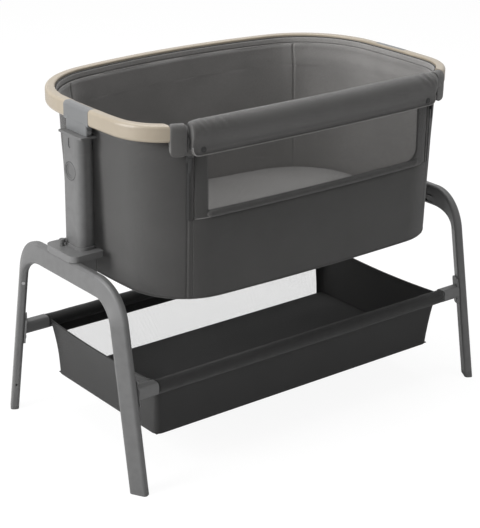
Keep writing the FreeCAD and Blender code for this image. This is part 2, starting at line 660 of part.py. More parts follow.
def build_basket():
    """Cloth trough hung from sleeves round both crossbars. Its rear wall is a mesh panel
    below a band; a stiffener board lies in the bottom."""
    cloth = mm["basket_cloth"]
    trough = basket_solid(0, mm["basket_bottom"]).cut(
        basket_solid(cloth, mm["basket_bottom"] + cloth))
    half = mm["sleeve_half"]
    rings, holes = {}, {}
    for end_name, end in ENDS:
        line = leg_point(1, end, mm["crossbar_height"])
        start, along = Vector(-half, line.y, line.z), Vector(1, 0, 0)
        inner = mm["crossbar_radius"] + mm["push_fit"]
        rings[end_name] = Part.makeCylinder(inner + cloth, 2 * half, start, along)
        holes[end_name] = Part.makeCylinder(inner, 2 * half + 2, start - Vector(1, 0, 0), along)
    rear = leg_point(1, 1, mm["crossbar_height"]).y
    inside = mm["basket_half"] - mm["basket_taper"] - mm["basket_round"]
    low = mm["basket_bottom"] + cloth
    reach = 2 * mm["basket_inset"]
    rear_zone = block(-inside, inside, rear - reach, rear + reach, low, mm["bar_height"])
    whole = trough.fuse([rings["front"], rings["rear"]]).cut([holes["front"], holes["rear"]])
    fabric = whole.cut(rear_zone)
    wall = trough.common(rear_zone)
    band_low = mm["band_bottom"]
    band = whole.common(block(-inside, inside, rear - reach, rear + reach, band_low,
                              mm["bar_height"]))
    mesh = wall.common(block(-inside, inside, rear - reach, rear + reach, low, band_low))
    solid_feature("basket_cloth", one_solid(fabric))
    solid_feature("basket_band", one_solid(band))
    solid_feature("basket_mesh", one_solid(mesh))
    margin = mm["basket_round"]
    low_x = mm["basket_half"] - mm["basket_taper"] - cloth - 1.5
    low_y = rear - STAND_Y - mm["basket_inset"] - cloth - 1.5
    thick = mm["board_thick"]
    board = Part.makeBox(2 * low_x, 2 * low_y, thick,
                         Vector(-low_x, STAND_Y - low_y, low))
    board = board.makeFillet(margin - cloth,
                             [e for e in board.Edges if e.BoundBox.ZLength > thick / 2])
    solid_feature("basket_board", board)


# ---------------------------------------------------------------- sliding carriages
POST_X = mm["frame_half"] - mm["post_inset"]
PLATE_TOP = BAR_TOP + mm["slide_fit"] + mm["shoe_thick"]


def build_shoe(name, side):
    """Saddle on the top bar: plate, skirt outside, and a guide block inside whose tongues
    run in the bar's slots. A boss seats the outer post."""
    body = new_body("shoe_" + name)
    body.Placement = at(side * mm["frame_half"], 0, PLATE_TOP - mm["shoe_thick"],
                        (0, 0, 1), 0 if side > 0 else 180)
    # in the shoe's own frame +X points away from the crib's middle
    inner_edge = size.post_inset + size.post_thick / 2 + size.shoe_under
    wide = size.shoe_over + inner_edge
    middle = size.shoe_over - wide / 2
    plate = new_sketch(body, "plate_outline", "XY_Plane")
    add_rounded(plate, wide, size.shoe_half * 2, size.shoe_round, "", middle, 0)
    pad(body, "plate", plate, size.shoe_thick)
    square = new_sketch(body, "inner_plate_outline", "XY_Plane")
    inner_wide = size.post_thick
    add_rounded(square, inner_wide, size.shoe_half * 2, size.shoe_corner, "",
                inner_wide / 2 - inner_edge, 0)
    pad(body, "inner_plate", square, size.shoe_thick)
    block_x = Dim.of(0) - size.bar_thick / 2 - size.slide_fit - size.block_thick / 2
    guide = new_sketch(body, "block_outline", "XY_Plane")
    add_rounded(guide, size.block_thick, size.block_half * 2, size.block_round, "", block_x, 0)
    pad(body, "block", guide, size.block_deep, reverse=True)
    skirt_x = size.bar_thick / 2 + size.slide_fit + size.skirt_thick / 2
    skirt = new_sketch(body, "skirt_outline", "XY_Plane")
    reach = (size.shoe_half - size.shoe_round) * 2
    add_rounded(skirt, size.skirt_thick, reach, size.skirt_thick / 2.001, "", skirt_x, 0)
    pad(body, "skirt", skirt, size.skirt_deep, reverse=True)
    drop = Dim.of(0) - (size.bar_tall / 2 + size.slide_fit)
    tongue_x = Dim.of(0) - size.bar_thick / 2 - size.slide_fit
    for part, height in (("upper", drop + size.slot_upper), ("lower", drop - size.slot_lower)):
        tongue = new_sketch(body, part + "_tongue", "XZ_Plane",
                            at(0, 0, mm["tongue_inset"] - mm["block_half"]))
        tall = size.slot_tall - size.slide_fit * 2
        add_rounded(tongue, size.tongue_deep * 2, tall, 1, "", tongue_x, height)
        pad(body, part + "_tongue_pad", tongue, (size.block_half - size.tongue_inset) * 2)
    boss = new_sketch(body, "boss_outline", "XY_Plane", at(0, 0, mm["shoe_thick"]))
    post_x = Dim.of(0) - size.post_inset
    grow = size.boss_wide * 2
    add_rounded(boss, size.post_thick + size.boss_wide, size.post_wide + grow,
                size.post_round + size.boss_wide / 2, "outer_", post_x, 0)
    spare = size.push_fit * 2
    add_rounded(boss, size.post_thick + spare, size.post_wide + spare,
                size.post_round + size.push_fit, "inner_", post_x, 0)
    pad(body, "boss", boss, size.boss_tall)
    hole = new_sketch(body, "knob_hole", "XY_Plane", at(0, 0, mm["shoe_thick"]))
    add_circle(hole, size.knob_pin + size.slide_fit, "", Dim.of(0) - size.knob_inset,
               size.knob_along * side)
    pocket(body, "knob_hole_cut", hole, size.shoe_thick)


def build_outer_post(name, side):
    """Hollow column, open at both ends, with the button's hole in its outer face."""
    body = new_body("outer_post_" + name)
    body.Placement = at(side * POST_X, 0, PLATE_TOP, (0, 0, 1), 0 if side > 0 else 180)
    ring = new_sketch(body, "column_section", "XY_Plane")
    add_rounded(ring, size.post_thick, size.post_wide, size.post_round, "outer_")
    wall = size.post_wall * 2
    add_rounded(ring, size.post_thick - wall, size.post_wide - wall,
                size.post_round - size.post_wall, "inner_")
    pad(body, "column", ring, mm["post_top"] - PLATE_TOP)
    hole = new_sketch(body, "button_hole", "YZ_Plane", at(0, 0, mm["post_thick"] / 2 + 1))
    add_circle(hole, size.button_radius + size.slide_fit, "", 0,
               size.button_height - PLATE_TOP)
    pocket(body, "button_hole_cut", hole, size.post_wall + 2)


def build_collar(name, side):
    """Cap on the outer post: it guides the inner post, ends in an overhanging lip and has
    an arched window for the height marks."""
    body = new_body("collar_" + name)
    body.Placement = at(side * POST_X, 0, mm["post_top"], (0, 0, 1), 0 if side > 0 else 180)
    shift = Dim.of(0) - size.inner_shift
    cap = new_sketch(body, "cap_outline", "XY_Plane")
    add_rounded(cap, size.post_thick, size.post_wide, size.post_round)
    pad(body, "cap", cap, size.collar_tall)
    lip = new_sketch(body, "lip_outline", "XY_Plane", at(0, 0, mm["collar_tall"]))
    add_rounded(lip, size.post_thick, size.lip_half * 2, size.lip_round)
    pad(body, "lip", lip, size.lip_thick)
    plug = new_sketch(body, "plug_outline", "XY_Plane")
    spare = (size.post_wall + size.push_fit) * 2
    add_rounded(plug, size.post_thick - spare, size.post_wide - spare,
                size.post_round - size.post_wall)
    pad(body, "plug", plug, size.collar_plug, reverse=True)
    bore = new_sketch(body, "bore_outline", "XY_Plane",
                      at(0, 0, mm["collar_tall"] + mm["lip_thick"]))
    spare = size.slide_fit * 2
    add_rounded(bore, size.inner_thick + spare, size.inner_wide + spare, size.inner_round, "",
                shift, 0)
    pocket(body, "bore", bore, size.collar_tall + size.lip_thick + size.collar_plug)
    arch = new_sketch(body, "window_outline", "YZ_Plane", at(0, 0, mm["post_thick"] / 2 + 1))
    add_rounded(arch, size.window_wide, size.window_tall, size.window_wide / 2.001, "", 0,
                size.collar_tall / 2 + 2)
    pocket(body, "window", arch, size.window_deep + 1)
    edge = mm["collar_tall"] + mm["lip_thick"]
    round_edges(body, "lip_rounding", size.lip_thick / 4,
                lambda e: level(edge)(e) and e.BoundBox.YLength > 1
                and max(abs(e.BoundBox.YMin), abs(e.BoundBox.YMax)) > mm["inner_wide"] / 2 + 3)


def build_button(name, side):
    """Round push button with a retaining flange behind the column's wall."""
    body = new_body("release_button_" + name)
    face = POST_X + mm["post_thick"] / 2 - mm["button_sunk"]
    body.Placement = at(side * face, 0, mm["button_height"], (0, 0, 1), 0 if side > 0 else 180)
    disc = new_sketch(body, "disc_outline", "YZ_Plane")
    add_circle(disc, size.button_radius)
    deep = size.post_wall - size.button_sunk + size.slide_fit
    pad(body, "disc", disc, deep, reverse=True)
    flange = new_sketch(body, "flange_outline", "YZ_Plane", at(0, 0, -float(deep)))
    add_circle(flange, size.button_radius + 2)
    pad(body, "flange", flange, size.button_flange, reverse=True)
    dish = new_sketch(body, "dish_outline", "YZ_Plane", at(0, 0, 0.2))
    add_circle(dish, size.button_radius * 0.72)
    pocket(body, "dish", dish, 0.8)
    stem = new_sketch(body, "stem_outline", "YZ_Plane", at(0, 0, -float(deep) - 1))
    add_circle(stem, size.button_radius / 4)
    pad(body, "stem", stem, 6, reverse=True)


def build_knob(name, side):
    """Slide lock: head and neck above the shoe's plate, pin through it."""
    body = new_body("slide_knob_" + name)
    body.Placement = at(side * (mm["frame_half"] - mm["knob_inset"]), mm["knob_along"],
                        PLATE_TOP + mm["knob_seat"])
    neck = new_sketch(body, "neck_outline", "XY_Plane")
    add_circle(neck, size.knob_radius * 0.62)
    pad(body, "neck", neck, size.knob_neck)
    head = new_sketch(body, "head_outline", "XY_Plane", at(0, 0, mm["knob_neck"]))
    add_circle(head, size.knob_radius)
    pad(body, "head", head, size.knob_tall)
    pin = new_sketch(body, "pin_outline", "XY_Plane")
    add_circle(pin, size.knob_pin)
    pad(body, "pin", pin, size.shoe_thick, reverse=True)
    top = mm["knob_neck"] + mm["knob_tall"]
    round_edges(body, "head_rounding", size.knob_tall / 4, level(top))


# ---------------------------------------------------------------- ovals of the rim and tub
RIM_LOW = mm["rim_top"] - mm["rim_tall"]
RIM = (mm["rim_half"], mm["rim_front"], mm["rim_rear"])
LOW = (mm["tub_half_low"], mm["tub_front_low"], mm["tub_rear_low"])
HIGH = (mm["tub_half_high"], mm["tub_front_high"], mm["tub_rear_high"])


def solve_pair(a, b, c, d, e, f):
    """Solves a*u + b*v = e and c*u + d*v = f."""
    det = a * d - b * c
    return (e * d - b * f) / det, (a * f - e * c) / det


def oval(shape, z, grow=0.0):
    """Closed wire of eight tangent arcs: a nearly straight front, tight front corners,
    slightly bowed ends, wide rear corners and a bowed rear. shape gives half length, front
    reach and rear reach; grow moves the outline outwards, square to itself."""
    half, front, rear = shape
    end, fore, back = (math.radians(mm[k]) for k in ("end_turn", "front_turn", "rear_turn"))
    radius, middle = mm["end_radius"], -mm["end_middle"]
    width = half - radius * (1 - math.cos(end))
    rise = radius * math.sin(end)
    front_radius, front_corner = solve_pair(
        math.sin(fore), math.cos(end) - math.sin(fore),
        1 - math.cos(fore), math.cos(fore) - math.sin(end), width, middle + front - rise)
    rear_corner, rear_radius = solve_pair(
        math.cos(end) - math.sin(back), math.sin(back),
        math.cos(back) - math.sin(end), 1 - math.cos(back), width, rear - middle - rise)
    quarter = math.pi / 2
    turns = [(-quarter - fore, -quarter + fore, front_radius),
             (-quarter + fore, -end, front_corner), (-end, end, radius),
             (end, quarter - back, rear_corner), (quarter - back, quarter + back, rear_radius),
             (quarter + back, math.pi - end, rear_corner),
             (math.pi - end, math.pi + end, radius),
             (math.pi + end, 3 * quarter - fore, front_corner)]
    arm = lambda turn: Vector(math.cos(turn), math.sin(turn), 0)
    point = Vector(0, -front, z) + (arm(-quarter - fore) - arm(-quarter)) * front_radius
    edges = []
    for start, stop, bend in turns:
        centre = point - arm(start) * bend
        ends = [centre + arm(t) * (bend + grow) for t in (start, (start + stop) / 2, stop)]
        edges.append(Part.Arc(*ends).toShape())
        point = centre + arm(stop) * bend
    return Part.Wire(edges)


def slab(shape, grow, z0, z1):
    """Solid plate with the oval's outline."""
    return Part.Face(oval(shape, z0, grow)).extrude(Vector(0, 0, z1 - z0))


def loop_band(outer, inner, z0, z1, outer_round=0.0, inner_round=0.0):
    """Ring that follows the rim's outline between two offsets, with rounded edges."""
    ring = slab(RIM, outer, z0, z1)
    if outer_round > 0:
        ring = ring.makeFillet(outer_round, [e for e in ring.Edges if e.BoundBox.ZLength < 0.1])
    hole = slab(RIM, inner, z0 - 1, z1 + 1)
    ring = ring.cut(hole)
    if inner_round > 0:
        limit = mm["rim_half"] + inner + 0.5
        rim_edges = [e for e in ring.Edges if e.BoundBox.ZLength < 0.1
                     and max(abs(e.BoundBox.XMin), abs(e.BoundBox.XMax)) < limit
                     and (abs(e.BoundBox.ZMin - z0) < 0.01 or abs(e.BoundBox.ZMin - z1) < 0.01)
                     and ring.distToShape(e)[0] < 1e-6
                     and hole.distToShape(Part.Vertex(e.valueAt(e.FirstParameter)))[0] < 1e-6]
        ring = ring.makeFillet(inner_round, rim_edges)
    return ring


def tub_solid(grow, bottom, top):
    """Inside of the tub cloth grown by grow, from bottom to top: it widens upwards to the
    shoulder, then tucks in against the inside of the rim."""
    share = (bottom - mm["tub_bottom"]) / (mm["tub_shoulder"] - mm["tub_bottom"])
    lowest = tuple(a + (b - a) * share for a, b in zip(LOW, HIGH))
    tuck = -mm["rim_thick"]
    wires = [oval(lowest, bottom, grow), oval(HIGH, mm["tub_shoulder"], grow),
             oval(RIM, RIM_LOW, tuck + grow), oval(RIM, top, tuck + grow)]
    return Part.makeLoft(wires, True, True)


def tub_skin(outer, inner):
    """Layer that follows the tub's walls between two offsets of the cloth's outside."""
    return tub_solid(outer, mm["tub_bottom"], mm["tub_edge"]).cut(
        tub_solid(inner, mm["tub_bottom"] - 1, mm["tub_edge"] + BEYOND))


FAR = 2 * mm["frame_half"]  # clears the rim and the tub on every side


def front_part(x0, x1, z0=0.0, z1=FAR):
    """Everything well in front of the posts between x0 and x1, and between two heights."""
    return block(x0, x1, -FAR, -mm["rim_front"] / 2, z0, z1)


def front_zone(half, z0=0.0, z1=FAR):
    return front_part(-half, half, z0, z1)


def front_spot(shape, x, z, grow):
    """Point of an oval's front at x."""
    line = Part.makeLine(Vector(x, -FAR, z), Vector(x, 0, z))
    return oval(shape, z, grow).distToShape(line)[1][0][0]


CORE_LOW = RIM_LOW + mm["core_inset"]
CORE_HIGH = mm["rim_top"] - mm["core_inset"]
CORE_OUT = -mm["core_inset"]
CORE_IN = -mm["rim_thick"] + mm["core_inset"]


def build_rim():
    """Oval core tube with a pale cover that leaves room for the clips, and cloth sleeves
    at the front corners."""
    core = loop_band(CORE_OUT, CORE_IN, CORE_LOW, CORE_HIGH, mm["core_round"])
    gap = mm["rail_half"] + mm["side_gap"]
    solid_feature("rim_core", one_solid(core.cut(front_zone(gap))))
    fit = mm["push_fit"]
    channel = loop_band(CORE_OUT + fit, CORE_IN - fit, CORE_LOW - fit, CORE_HIGH + fit)
    cover = loop_band(0, -mm["rim_thick"], RIM_LOW, mm["rim_top"], mm["rim_round"],
                      mm["rim_fine"])
    notch_in = -mm["rim_thick"] + mm["clip_cover"]
    half = mm["clip_half"] + fit
    notch = loop_band(BEYOND, notch_in, RIM_LOW - BEYOND, mm["rim_top"] + BEYOND).common(
        block(-FAR, FAR, -half, half, 0, FAR))
    cover = cover.cut([channel, front_zone(mm["corner_half"]), notch])
    solid_feature("rim_cover", one_solid(cover))
    sleeve = loop_band(mm["sleeve_proud"], -mm["sleeve_back"], mm["rail_bottom"],
                       mm["rail_top"], mm["sleeve_round"])
    for name, side in SIDES:
        outer_end = side * mm["corner_half"]
        x0, x1 = sorted((outer_end, outer_end - side * mm["sleeve_wide"]))
        piece = sleeve.common(front_part(x0, x1)).cut(channel)
        solid_feature("corner_sleeve_" + name, one_solid(piece))
    wrap = loop_band(mm["clip_proud"], notch_in + fit, RIM_LOW - mm["clip_under"],
                     mm["rim_top"], mm["rim_round"])
    for name, side in SIDES:
        x0, x1 = sorted((side * mm["rim_half"] / 2, side * FAR))
        half = mm["clip_half"]
        plate = wrap.common(block(x0, x1, -half, half, 0, FAR)).cut(channel)
        neck_x = POST_X - mm["inner_shift"]
        thick = mm["neck_thick"] / 2
        x0, x1 = sorted((side * (neck_x - thick), side * (neck_x + thick)))
        neck_low = mm["post_top"] + mm["collar_tall"] + mm["lip_thick"] + 2 * mm["slide_fit"]
        half = mm["neck_half"]
        neck = block(x0, x1, -half, half, neck_low, RIM_LOW + mm["rim_round"])
        neck = neck.makeFillet(mm["neck_round"], [e for e in neck.Edges
                                                  if e.BoundBox.ZLength > mm["neck_round"]])
        neck = neck.cut(channel)
        deep = neck_low + mm["inner_seat"]
        seat_x, seat_y = mm["inner_thick"] / 2 + fit, mm["inner_wide"] / 2 + fit
        seat = block(side * neck_x - seat_x, side * neck_x + seat_x, -seat_y, seat_y,
                     neck_low - BEYOND, deep)
        seat = seat.makeFillet(mm["inner_round"], [e for e in seat.Edges
                                                   if e.BoundBox.ZLength > BEYOND])
        solid_feature("rim_clip_" + name, one_solid(plate.fuse(neck).cut(seat)))
    return neck_low


def build_inner_post(name, side, neck_low):
    """Flat tube from the glide up into the clip, with the row of height holes."""
    body = new_body("inner_post_" + name)
    x = POST_X - mm["inner_shift"]
    body.Placement = at(side * x, 0, mm["inner_bottom"], (0, 0, 1), 0 if side > 0 else 180)
    ring = new_sketch(body, "tube_section", "XY_Plane")
    add_rounded(ring, size.inner_thick, size.inner_wide, size.inner_round, "outer_")
    wall = size.inner_wall * 2
    add_rounded(ring, size.inner_thick - wall, size.inner_wide - wall,
                size.inner_round - size.inner_wall, "inner_")
    pad(body, "tube", ring, neck_low + mm["inner_seat"] - mm["push_fit"] - mm["inner_bottom"])
    holes = new_sketch(body, "height_holes", "YZ_Plane", at(0, 0, mm["inner_thick"] / 2 + 1))
    for k in range(5):
        height = size.button_height - size.inner_bottom - size.hole_pitch * k
        add_circle(holes, size.button_radius / 4 + 0.5, "hole_%d_" % k, 0, height)
    pocket(body, "height_holes_cut", holes, size.inner_wall + 2)
    glide = new_body("post_glide_" + name)
    glide.Placement = body.Placement
    outline = new_sketch(glide, "glide_outline", "XY_Plane")
    spare = (size.post_wall + size.slide_fit) * 2
    add_rounded(outline, size.post_thick - spare, size.post_wide - spare,
                size.post_round - size.post_wall, "outer_", size.inner_shift, 0)
    fit = size.push_fit * 2
    add_rounded(outline, size.inner_thick + fit, size.inner_wide + fit,
                size.inner_round + size.push_fit, "inner_")
    pad(glide, "glide", outline, size.glide_tall)


def build_clip_screws(neck_low):
    """A screw through each end of the clips' necks."""
    heads = []
    for side_name, side in SIDES:
        for end_name, end in ENDS:
            x = side * (POST_X - mm["inner_shift"])
            spot = Placement(Vector(x, end * mm["neck_half"], neck_low + mm["inner_seat"] / 2),
                             Rotation(Vector(1, 0, 0), -90 * end))
            heads.append(cylinder("clip_screw_%s_%s" % (end_name, side_name),
                                  size.screw_radius, size.screw_proud, spot))
    build_group("clip_screws", heads)


# ---------------------------------------------------------------- tub and mattress
def build_tub():
    """Outer cloth, padded liner, floor board and zip teeth. The front is open above the
    seam the drop side folds on."""
    cloth, bottom = mm["shell_cloth"], mm["tub_bottom"]
    gap = mm["side_half"] + mm["side_gap"]
    opening = front_zone(gap, mm["side_bottom"] - mm["cloth_gap"])
    above = front_zone(mm["corner_half"] + mm["cloth_gap"],
                       mm["rail_bottom"] - mm["cloth_gap"])
    shell = tub_solid(0, bottom, mm["tub_edge"]).cut(
        tub_solid(-cloth, bottom + cloth, mm["tub_edge"] + BEYOND))
    solid_feature("tub_shell", one_solid(shell.cut([opening, above])))
    inner = -cloth - mm["liner_cloth"]
    liner = tub_solid(-cloth, bottom + cloth, mm["liner_edge"]).cut(
        tub_solid(inner, bottom + cloth - 1, mm["liner_edge"] + BEYOND))
    solid_feature("tub_liner", one_solid(liner.cut([opening, above])))
    floor = slab(LOW, inner - 0.2, bottom + cloth, bottom + cloth + mm["floor_thick"])
    solid_feature("tub_floor", floor)
    teeth = []
    front = tub_skin(mm["zip_proud"], 0)
    for name, side in SIDES:
        x0 = side * mm["zip_along"] - mm["zip_wide"] / 2
        strip = front.common(front_part(x0, x0 + mm["zip_wide"], mm["side_bottom"],
                                        mm["rail_bottom"] - mm["cloth_gap"]))
        teeth.append(one_solid(strip))
    solid_feature("zip_teeth", Part.makeCompound(teeth))
    return inner


def build_mattress(inner):
    """Thin pad with rounded edges and a slight crown."""
    base = mm["tub_bottom"] + mm["shell_cloth"] + mm["floor_thick"] + mm["cloth_gap"]
    edge = base + mm["mattress_thick"]
    grow = inner - mm["mattress_gap"]
    pad_block = slab(LOW, grow, base, edge)
    rounding = mm["mattress_round"]
    pad_block = pad_block.makeFillet(rounding, [e for e in pad_block.Edges
                                                if e.BoundBox.ZLength < 0.1])
    steps = [oval(LOW, edge + mm["mattress_crown"] * rise, grow - rounding * run)
             for rise, run in ((0.0, 1.05), (0.5, 3), (0.85, 6), (1.0, 10))]
    crown = Part.makeLoft(steps, True, True)
    solid_feature("mattress", one_solid(pad_block.fuse(crown)))


# ---------------------------------------------------------------- drop side
def build_drop_side():
    """Padded rail on a core tube, with a cloth frame, a mesh window and a soft roll under
    the window. It folds out and down about the seam at its lower edge."""
    low, hem = mm["side_bottom"], mm["rail_bottom"]
    core = loop_band(CORE_OUT, CORE_IN, CORE_LOW, CORE_HIGH, mm["core_round"])
    zone = front_zone(mm["rail_half"] - mm["side_gap"])
    solid_feature("side_rail_core", one_solid(core.common(zone)))
    fit = mm["push_fit"]
    channel = loop_band(CORE_OUT + fit, CORE_IN - fit, CORE_LOW - fit, CORE_HIGH + fit)
    rail = loop_band(mm["rail_proud"], -mm["rail_back"], hem, mm["rail_top"],
                     mm["rail_round"])
    rail = rail.common(front_zone(mm["rail_half"])).cut(channel.common(zone))
    solid_feature("side_rail_pad", one_solid(rail))
    cloth = mm["shell_cloth"]
    whole = front_zone(mm["side_half"], low, hem)
    window = front_zone(mm["mesh_half"], mm["mesh_bottom"])
    window = window.makeFillet(mm["mesh_round"], [e for e in window.Edges
                                                  if e.BoundBox.YLength > mm["mesh_round"]
                                                  and e.BoundBox.ZMax < hem])
    roll = tub_skin(mm["roll_proud"], -cloth).common(
        front_zone(mm["mesh_half"] + mm["roll_proud"], low, hem))
    frame = tub_skin(0, -cloth).common(whole).cut(window)
    roll = roll.common(front_zone(mm["side_half"], low, mm["mesh_bottom"] + mm["mesh_round"]))
    solid_feature("side_panel", one_solid(frame.fuse(roll).cut(window)))
    thin = tub_skin((mm["mesh_cloth"] - cloth) / 2, (-mm["mesh_cloth"] - cloth) / 2)
    solid_feature("side_mesh", one_solid(thin.common(window).common(whole)))


def build_snaps():
    """Snap buttons near the rail's ends; they hold the folded side."""
    heads = []
    radius, z = mm["snap_radius"], mm["snap_height"]
    for name, side in SIDES:
        x = side * mm["snap_along"]
        near, point, far = (front_spot(RIM, x + step, z, mm["rail_proud"] + mm["push_fit"])
                            for step in (-radius, 0, radius))
        outwards = (far - near).cross(Vector(0, 0, 1))
        heads.append(cylinder("snap_" + name, size.snap_radius, size.snap_proud,
                              Placement(point, Rotation(Vector(0, 0, 1), outwards))))
    build_group("side_snaps", heads)


def build_zip_sliders():
    """Slider body with a hanging puller, running on the zip teeth."""
    for name, side in SIDES:
        x = side * mm["zip_along"]
        z1 = mm["rail_bottom"] - mm["slider_gap"]
        z0 = z1 - mm["slider_tall"]
        half = mm["slider_wide"] / 2
        fit = mm["slider_gap"]
        skin = tub_solid(fit, mm["tub_bottom"], mm["tub_edge"])
        teeth = tub_solid(mm["zip_proud"] + fit, mm["tub_bottom"], mm["tub_edge"])
        outer = tub_solid(mm["slider_deep"], mm["tub_bottom"], mm["tub_edge"])
        piece = outer.common(front_part(x - half, x + half, z0, z1)).cut(skin)
        slot = teeth.common(front_part(x - mm["zip_wide"] / 2 - fit,
                                       x + mm["zip_wide"] / 2 + fit))
        piece = piece.cut(slot)
        deep, thick = mm["slider_deep"], mm["puller_thick"]
        half = mm["puller_wide"] / 2
        middle = (z0 + z1) / 2
        puller = tub_skin(deep + thick, deep - thick / 2).common(
            front_part(x - half, x + half, middle - mm["puller_tall"], middle + thick))
        solid_feature("zip_slider_" + name, one_solid(piece.fuse(puller)))


# ---------------------------------------------------------------- build everything
for side_name, side in SIDES:
    build_top_bar(side_name, side)
    build_shoe(side_name, side)
    build_outer_post(side_name, side)
    build_collar(side_name, side)
    build_button(side_name, side)
    build_knob(side_name, side)
    for end_name, end in ENDS:
        build_elbow(side_name, side, end_name, end)
        build_leg(side_name, side, end_name, end)
        build_foot(side_name, side, end_name, end)
        build_socket(side_name, side, end_name, end)
for end_name, end in ENDS:
    build_crossbar(end_name, end)
build_leg_pins()
build_socket_screws()
build_basket()
neck_bottom = build_rim()
for side_name, side in SIDES:
    build_inner_post(side_name, side, neck_bottom)
build_clip_screws(neck_bottom)
liner_inside = build_tub()
build_mattress(liner_inside)
build_drop_side()
build_snaps()
build_zip_sliders()

doc.recompute()
failed = [o.Label for o in doc.Objects if "Invalid" in o.State or "Error" in o.State]
failed += [o.Label for o in nodes if o.Shape.isNull() or not o.Shape.isValid()
           or not o.Shape.Solids]
if failed:
    raise ValueError("failed pieces: " + ", ".join(failed))
for obj in nodes:
    obj.Shape.exportStep(os.path.join("parts", obj.Label + ".step"))
print(len(nodes), "pieces written")
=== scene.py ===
# Looks of a bedside sleeper crib: cloth, padding, nets, finishes, floor, light and camera
# around its packed construction. Metres, +Z up, -Y is the front. side is -1 for left and
# +1 for right.
import math

import bpy
import numpy as np
from mathutils import Matrix, Vector, noise

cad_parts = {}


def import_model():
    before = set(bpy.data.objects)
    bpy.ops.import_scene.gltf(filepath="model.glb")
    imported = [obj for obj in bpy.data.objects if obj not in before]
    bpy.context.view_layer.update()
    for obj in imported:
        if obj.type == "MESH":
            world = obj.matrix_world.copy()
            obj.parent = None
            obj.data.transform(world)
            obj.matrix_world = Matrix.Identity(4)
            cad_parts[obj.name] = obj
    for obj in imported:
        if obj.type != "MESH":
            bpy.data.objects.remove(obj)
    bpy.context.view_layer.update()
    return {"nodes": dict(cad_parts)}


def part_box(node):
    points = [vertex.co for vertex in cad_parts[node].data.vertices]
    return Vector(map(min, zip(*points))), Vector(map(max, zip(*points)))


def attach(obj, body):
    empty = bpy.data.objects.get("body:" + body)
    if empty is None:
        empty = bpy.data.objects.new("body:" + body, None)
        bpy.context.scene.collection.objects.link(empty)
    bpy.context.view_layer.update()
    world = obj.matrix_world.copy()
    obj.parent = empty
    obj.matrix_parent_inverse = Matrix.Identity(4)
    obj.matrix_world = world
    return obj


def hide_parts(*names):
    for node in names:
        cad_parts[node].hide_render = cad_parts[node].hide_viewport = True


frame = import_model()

SIDES = (("left", -1), ("right", 1))
STAND_Y = -0.018

# ------------------------------------------------------------------ outlines of rim and tub
# How far the ends, the front and the rear bend, the radius of the ends, and the depth at
# which they are widest.
END_TURN, FRONT_TURN, REAR_TURN = math.radians(3), math.radians(2.7), math.radians(10)
END_RADIUS, END_MIDDLE = 1.8, 0.025
# Half length, reach to the front and reach to the rear.
RIM_SIZE = (0.421, 0.240, 0.274)
LOW_SIZE = (0.378, 0.249, 0.244)
HIGH_SIZE = (0.393, 0.241, 0.253)
RIM_THICK, RIM_LOW = 0.020, 0.688
TUB_LOW, SHOULDER = 0.366, 0.672
# The drop side: half lengths of its rail and panel, the height of its lower edge and of the
# rail's hem. The opening in the tub is wider by the rail than by the panel.
RAIL_HALF, PANEL_HALF, SIDE_LOW, HEM = 0.316, 0.3045, 0.531, 0.660
GAP_BY_PANEL, GAP_BY_RAIL, GAP_STEP = 0.3065, 0.3185, HEM - 0.006
# Steps of the outline's arcs from the middle of the front to the middle of the rear.
ARC_STEPS = (28, 44, 24, 44, 60)
FRONT_STEPS = sum(ARC_STEPS[:2])
UP = Vector((0, 0, 1))


def solve_pair(a, b, c, d, e, f):
    """x and y for which a x + b y = e and c x + d y = f."""
    det = a * d - b * c
    return (e * d - b * f) / det, (a * f - e * c) / det


def oval(size):
    """Points and outward normals of an oval of tangent arcs, from the middle of the front
    round by the right."""
    half, front, rear = size
    width = half - END_RADIUS * (1 - math.cos(END_TURN))
    rise = END_RADIUS * math.sin(END_TURN)
    front_radius, front_corner = solve_pair(
        math.sin(FRONT_TURN), math.cos(END_TURN) - math.sin(FRONT_TURN),
        1 - math.cos(FRONT_TURN), math.cos(FRONT_TURN) - math.sin(END_TURN),
        width, front - END_MIDDLE - rise)
    rear_corner, rear_radius = solve_pair(
        math.cos(END_TURN) - math.sin(REAR_TURN), math.sin(REAR_TURN),
        math.cos(REAR_TURN) - math.sin(END_TURN), 1 - math.cos(REAR_TURN),
        width, rear + END_MIDDLE - rise)
    quarter = math.pi / 2
    arcs = [(-quarter, -quarter + FRONT_TURN, front_radius),
            (-quarter + FRONT_TURN, -END_TURN, front_corner),
            (-END_TURN, END_TURN, END_RADIUS),
            (END_TURN, quarter - REAR_TURN, rear_corner),
            (quarter - REAR_TURN, quarter, rear_radius)]
    points, normals, at = [], [], np.array([0.0, -front])
    for (start, stop, radius), steps in zip(arcs, ARC_STEPS):
        turns = np.linspace(start, stop, steps, endpoint=False)
        arms = np.stack([np.cos(turns), np.sin(turns)], 1)
        centre = at - arms[0] * radius
        points.append(centre + arms * radius)
        normals.append(arms)
        at = centre + radius * np.array([math.cos(stop), math.sin(stop)])
    points, normals = np.concatenate(points), np.concatenate(normals)
    points = np.concatenate([points, [[0.0, rear]], points[:0:-1] * [-1, 1]])
    normals = np.concatenate([normals, [[0.0, 1.0]], normals[:0:-1] * [-1, 1]])
    return points, normals


RIM, LOW, HIGH = oval(RIM_SIZE), oval(LOW_SIZE), oval(HIGH_SIZE)


def tub_ring(z, out=0.0):
    """The tub's outline at height z, moved outwards by out."""
    normals = HIGH[1]
    if z <= SHOULDER:
        share = (z - TUB_LOW) / (SHOULDER - TUB_LOW)
        points = LOW[0] * (1 - share) + HIGH[0] * share
    else:
        share = min(1.0, (z - SHOULDER) / (RIM_LOW - SHOULDER))
        points = HIGH[0] * (1 - share) + (RIM[0] - RIM[1] * RIM_THICK) * share
    return points + normals * out, normals


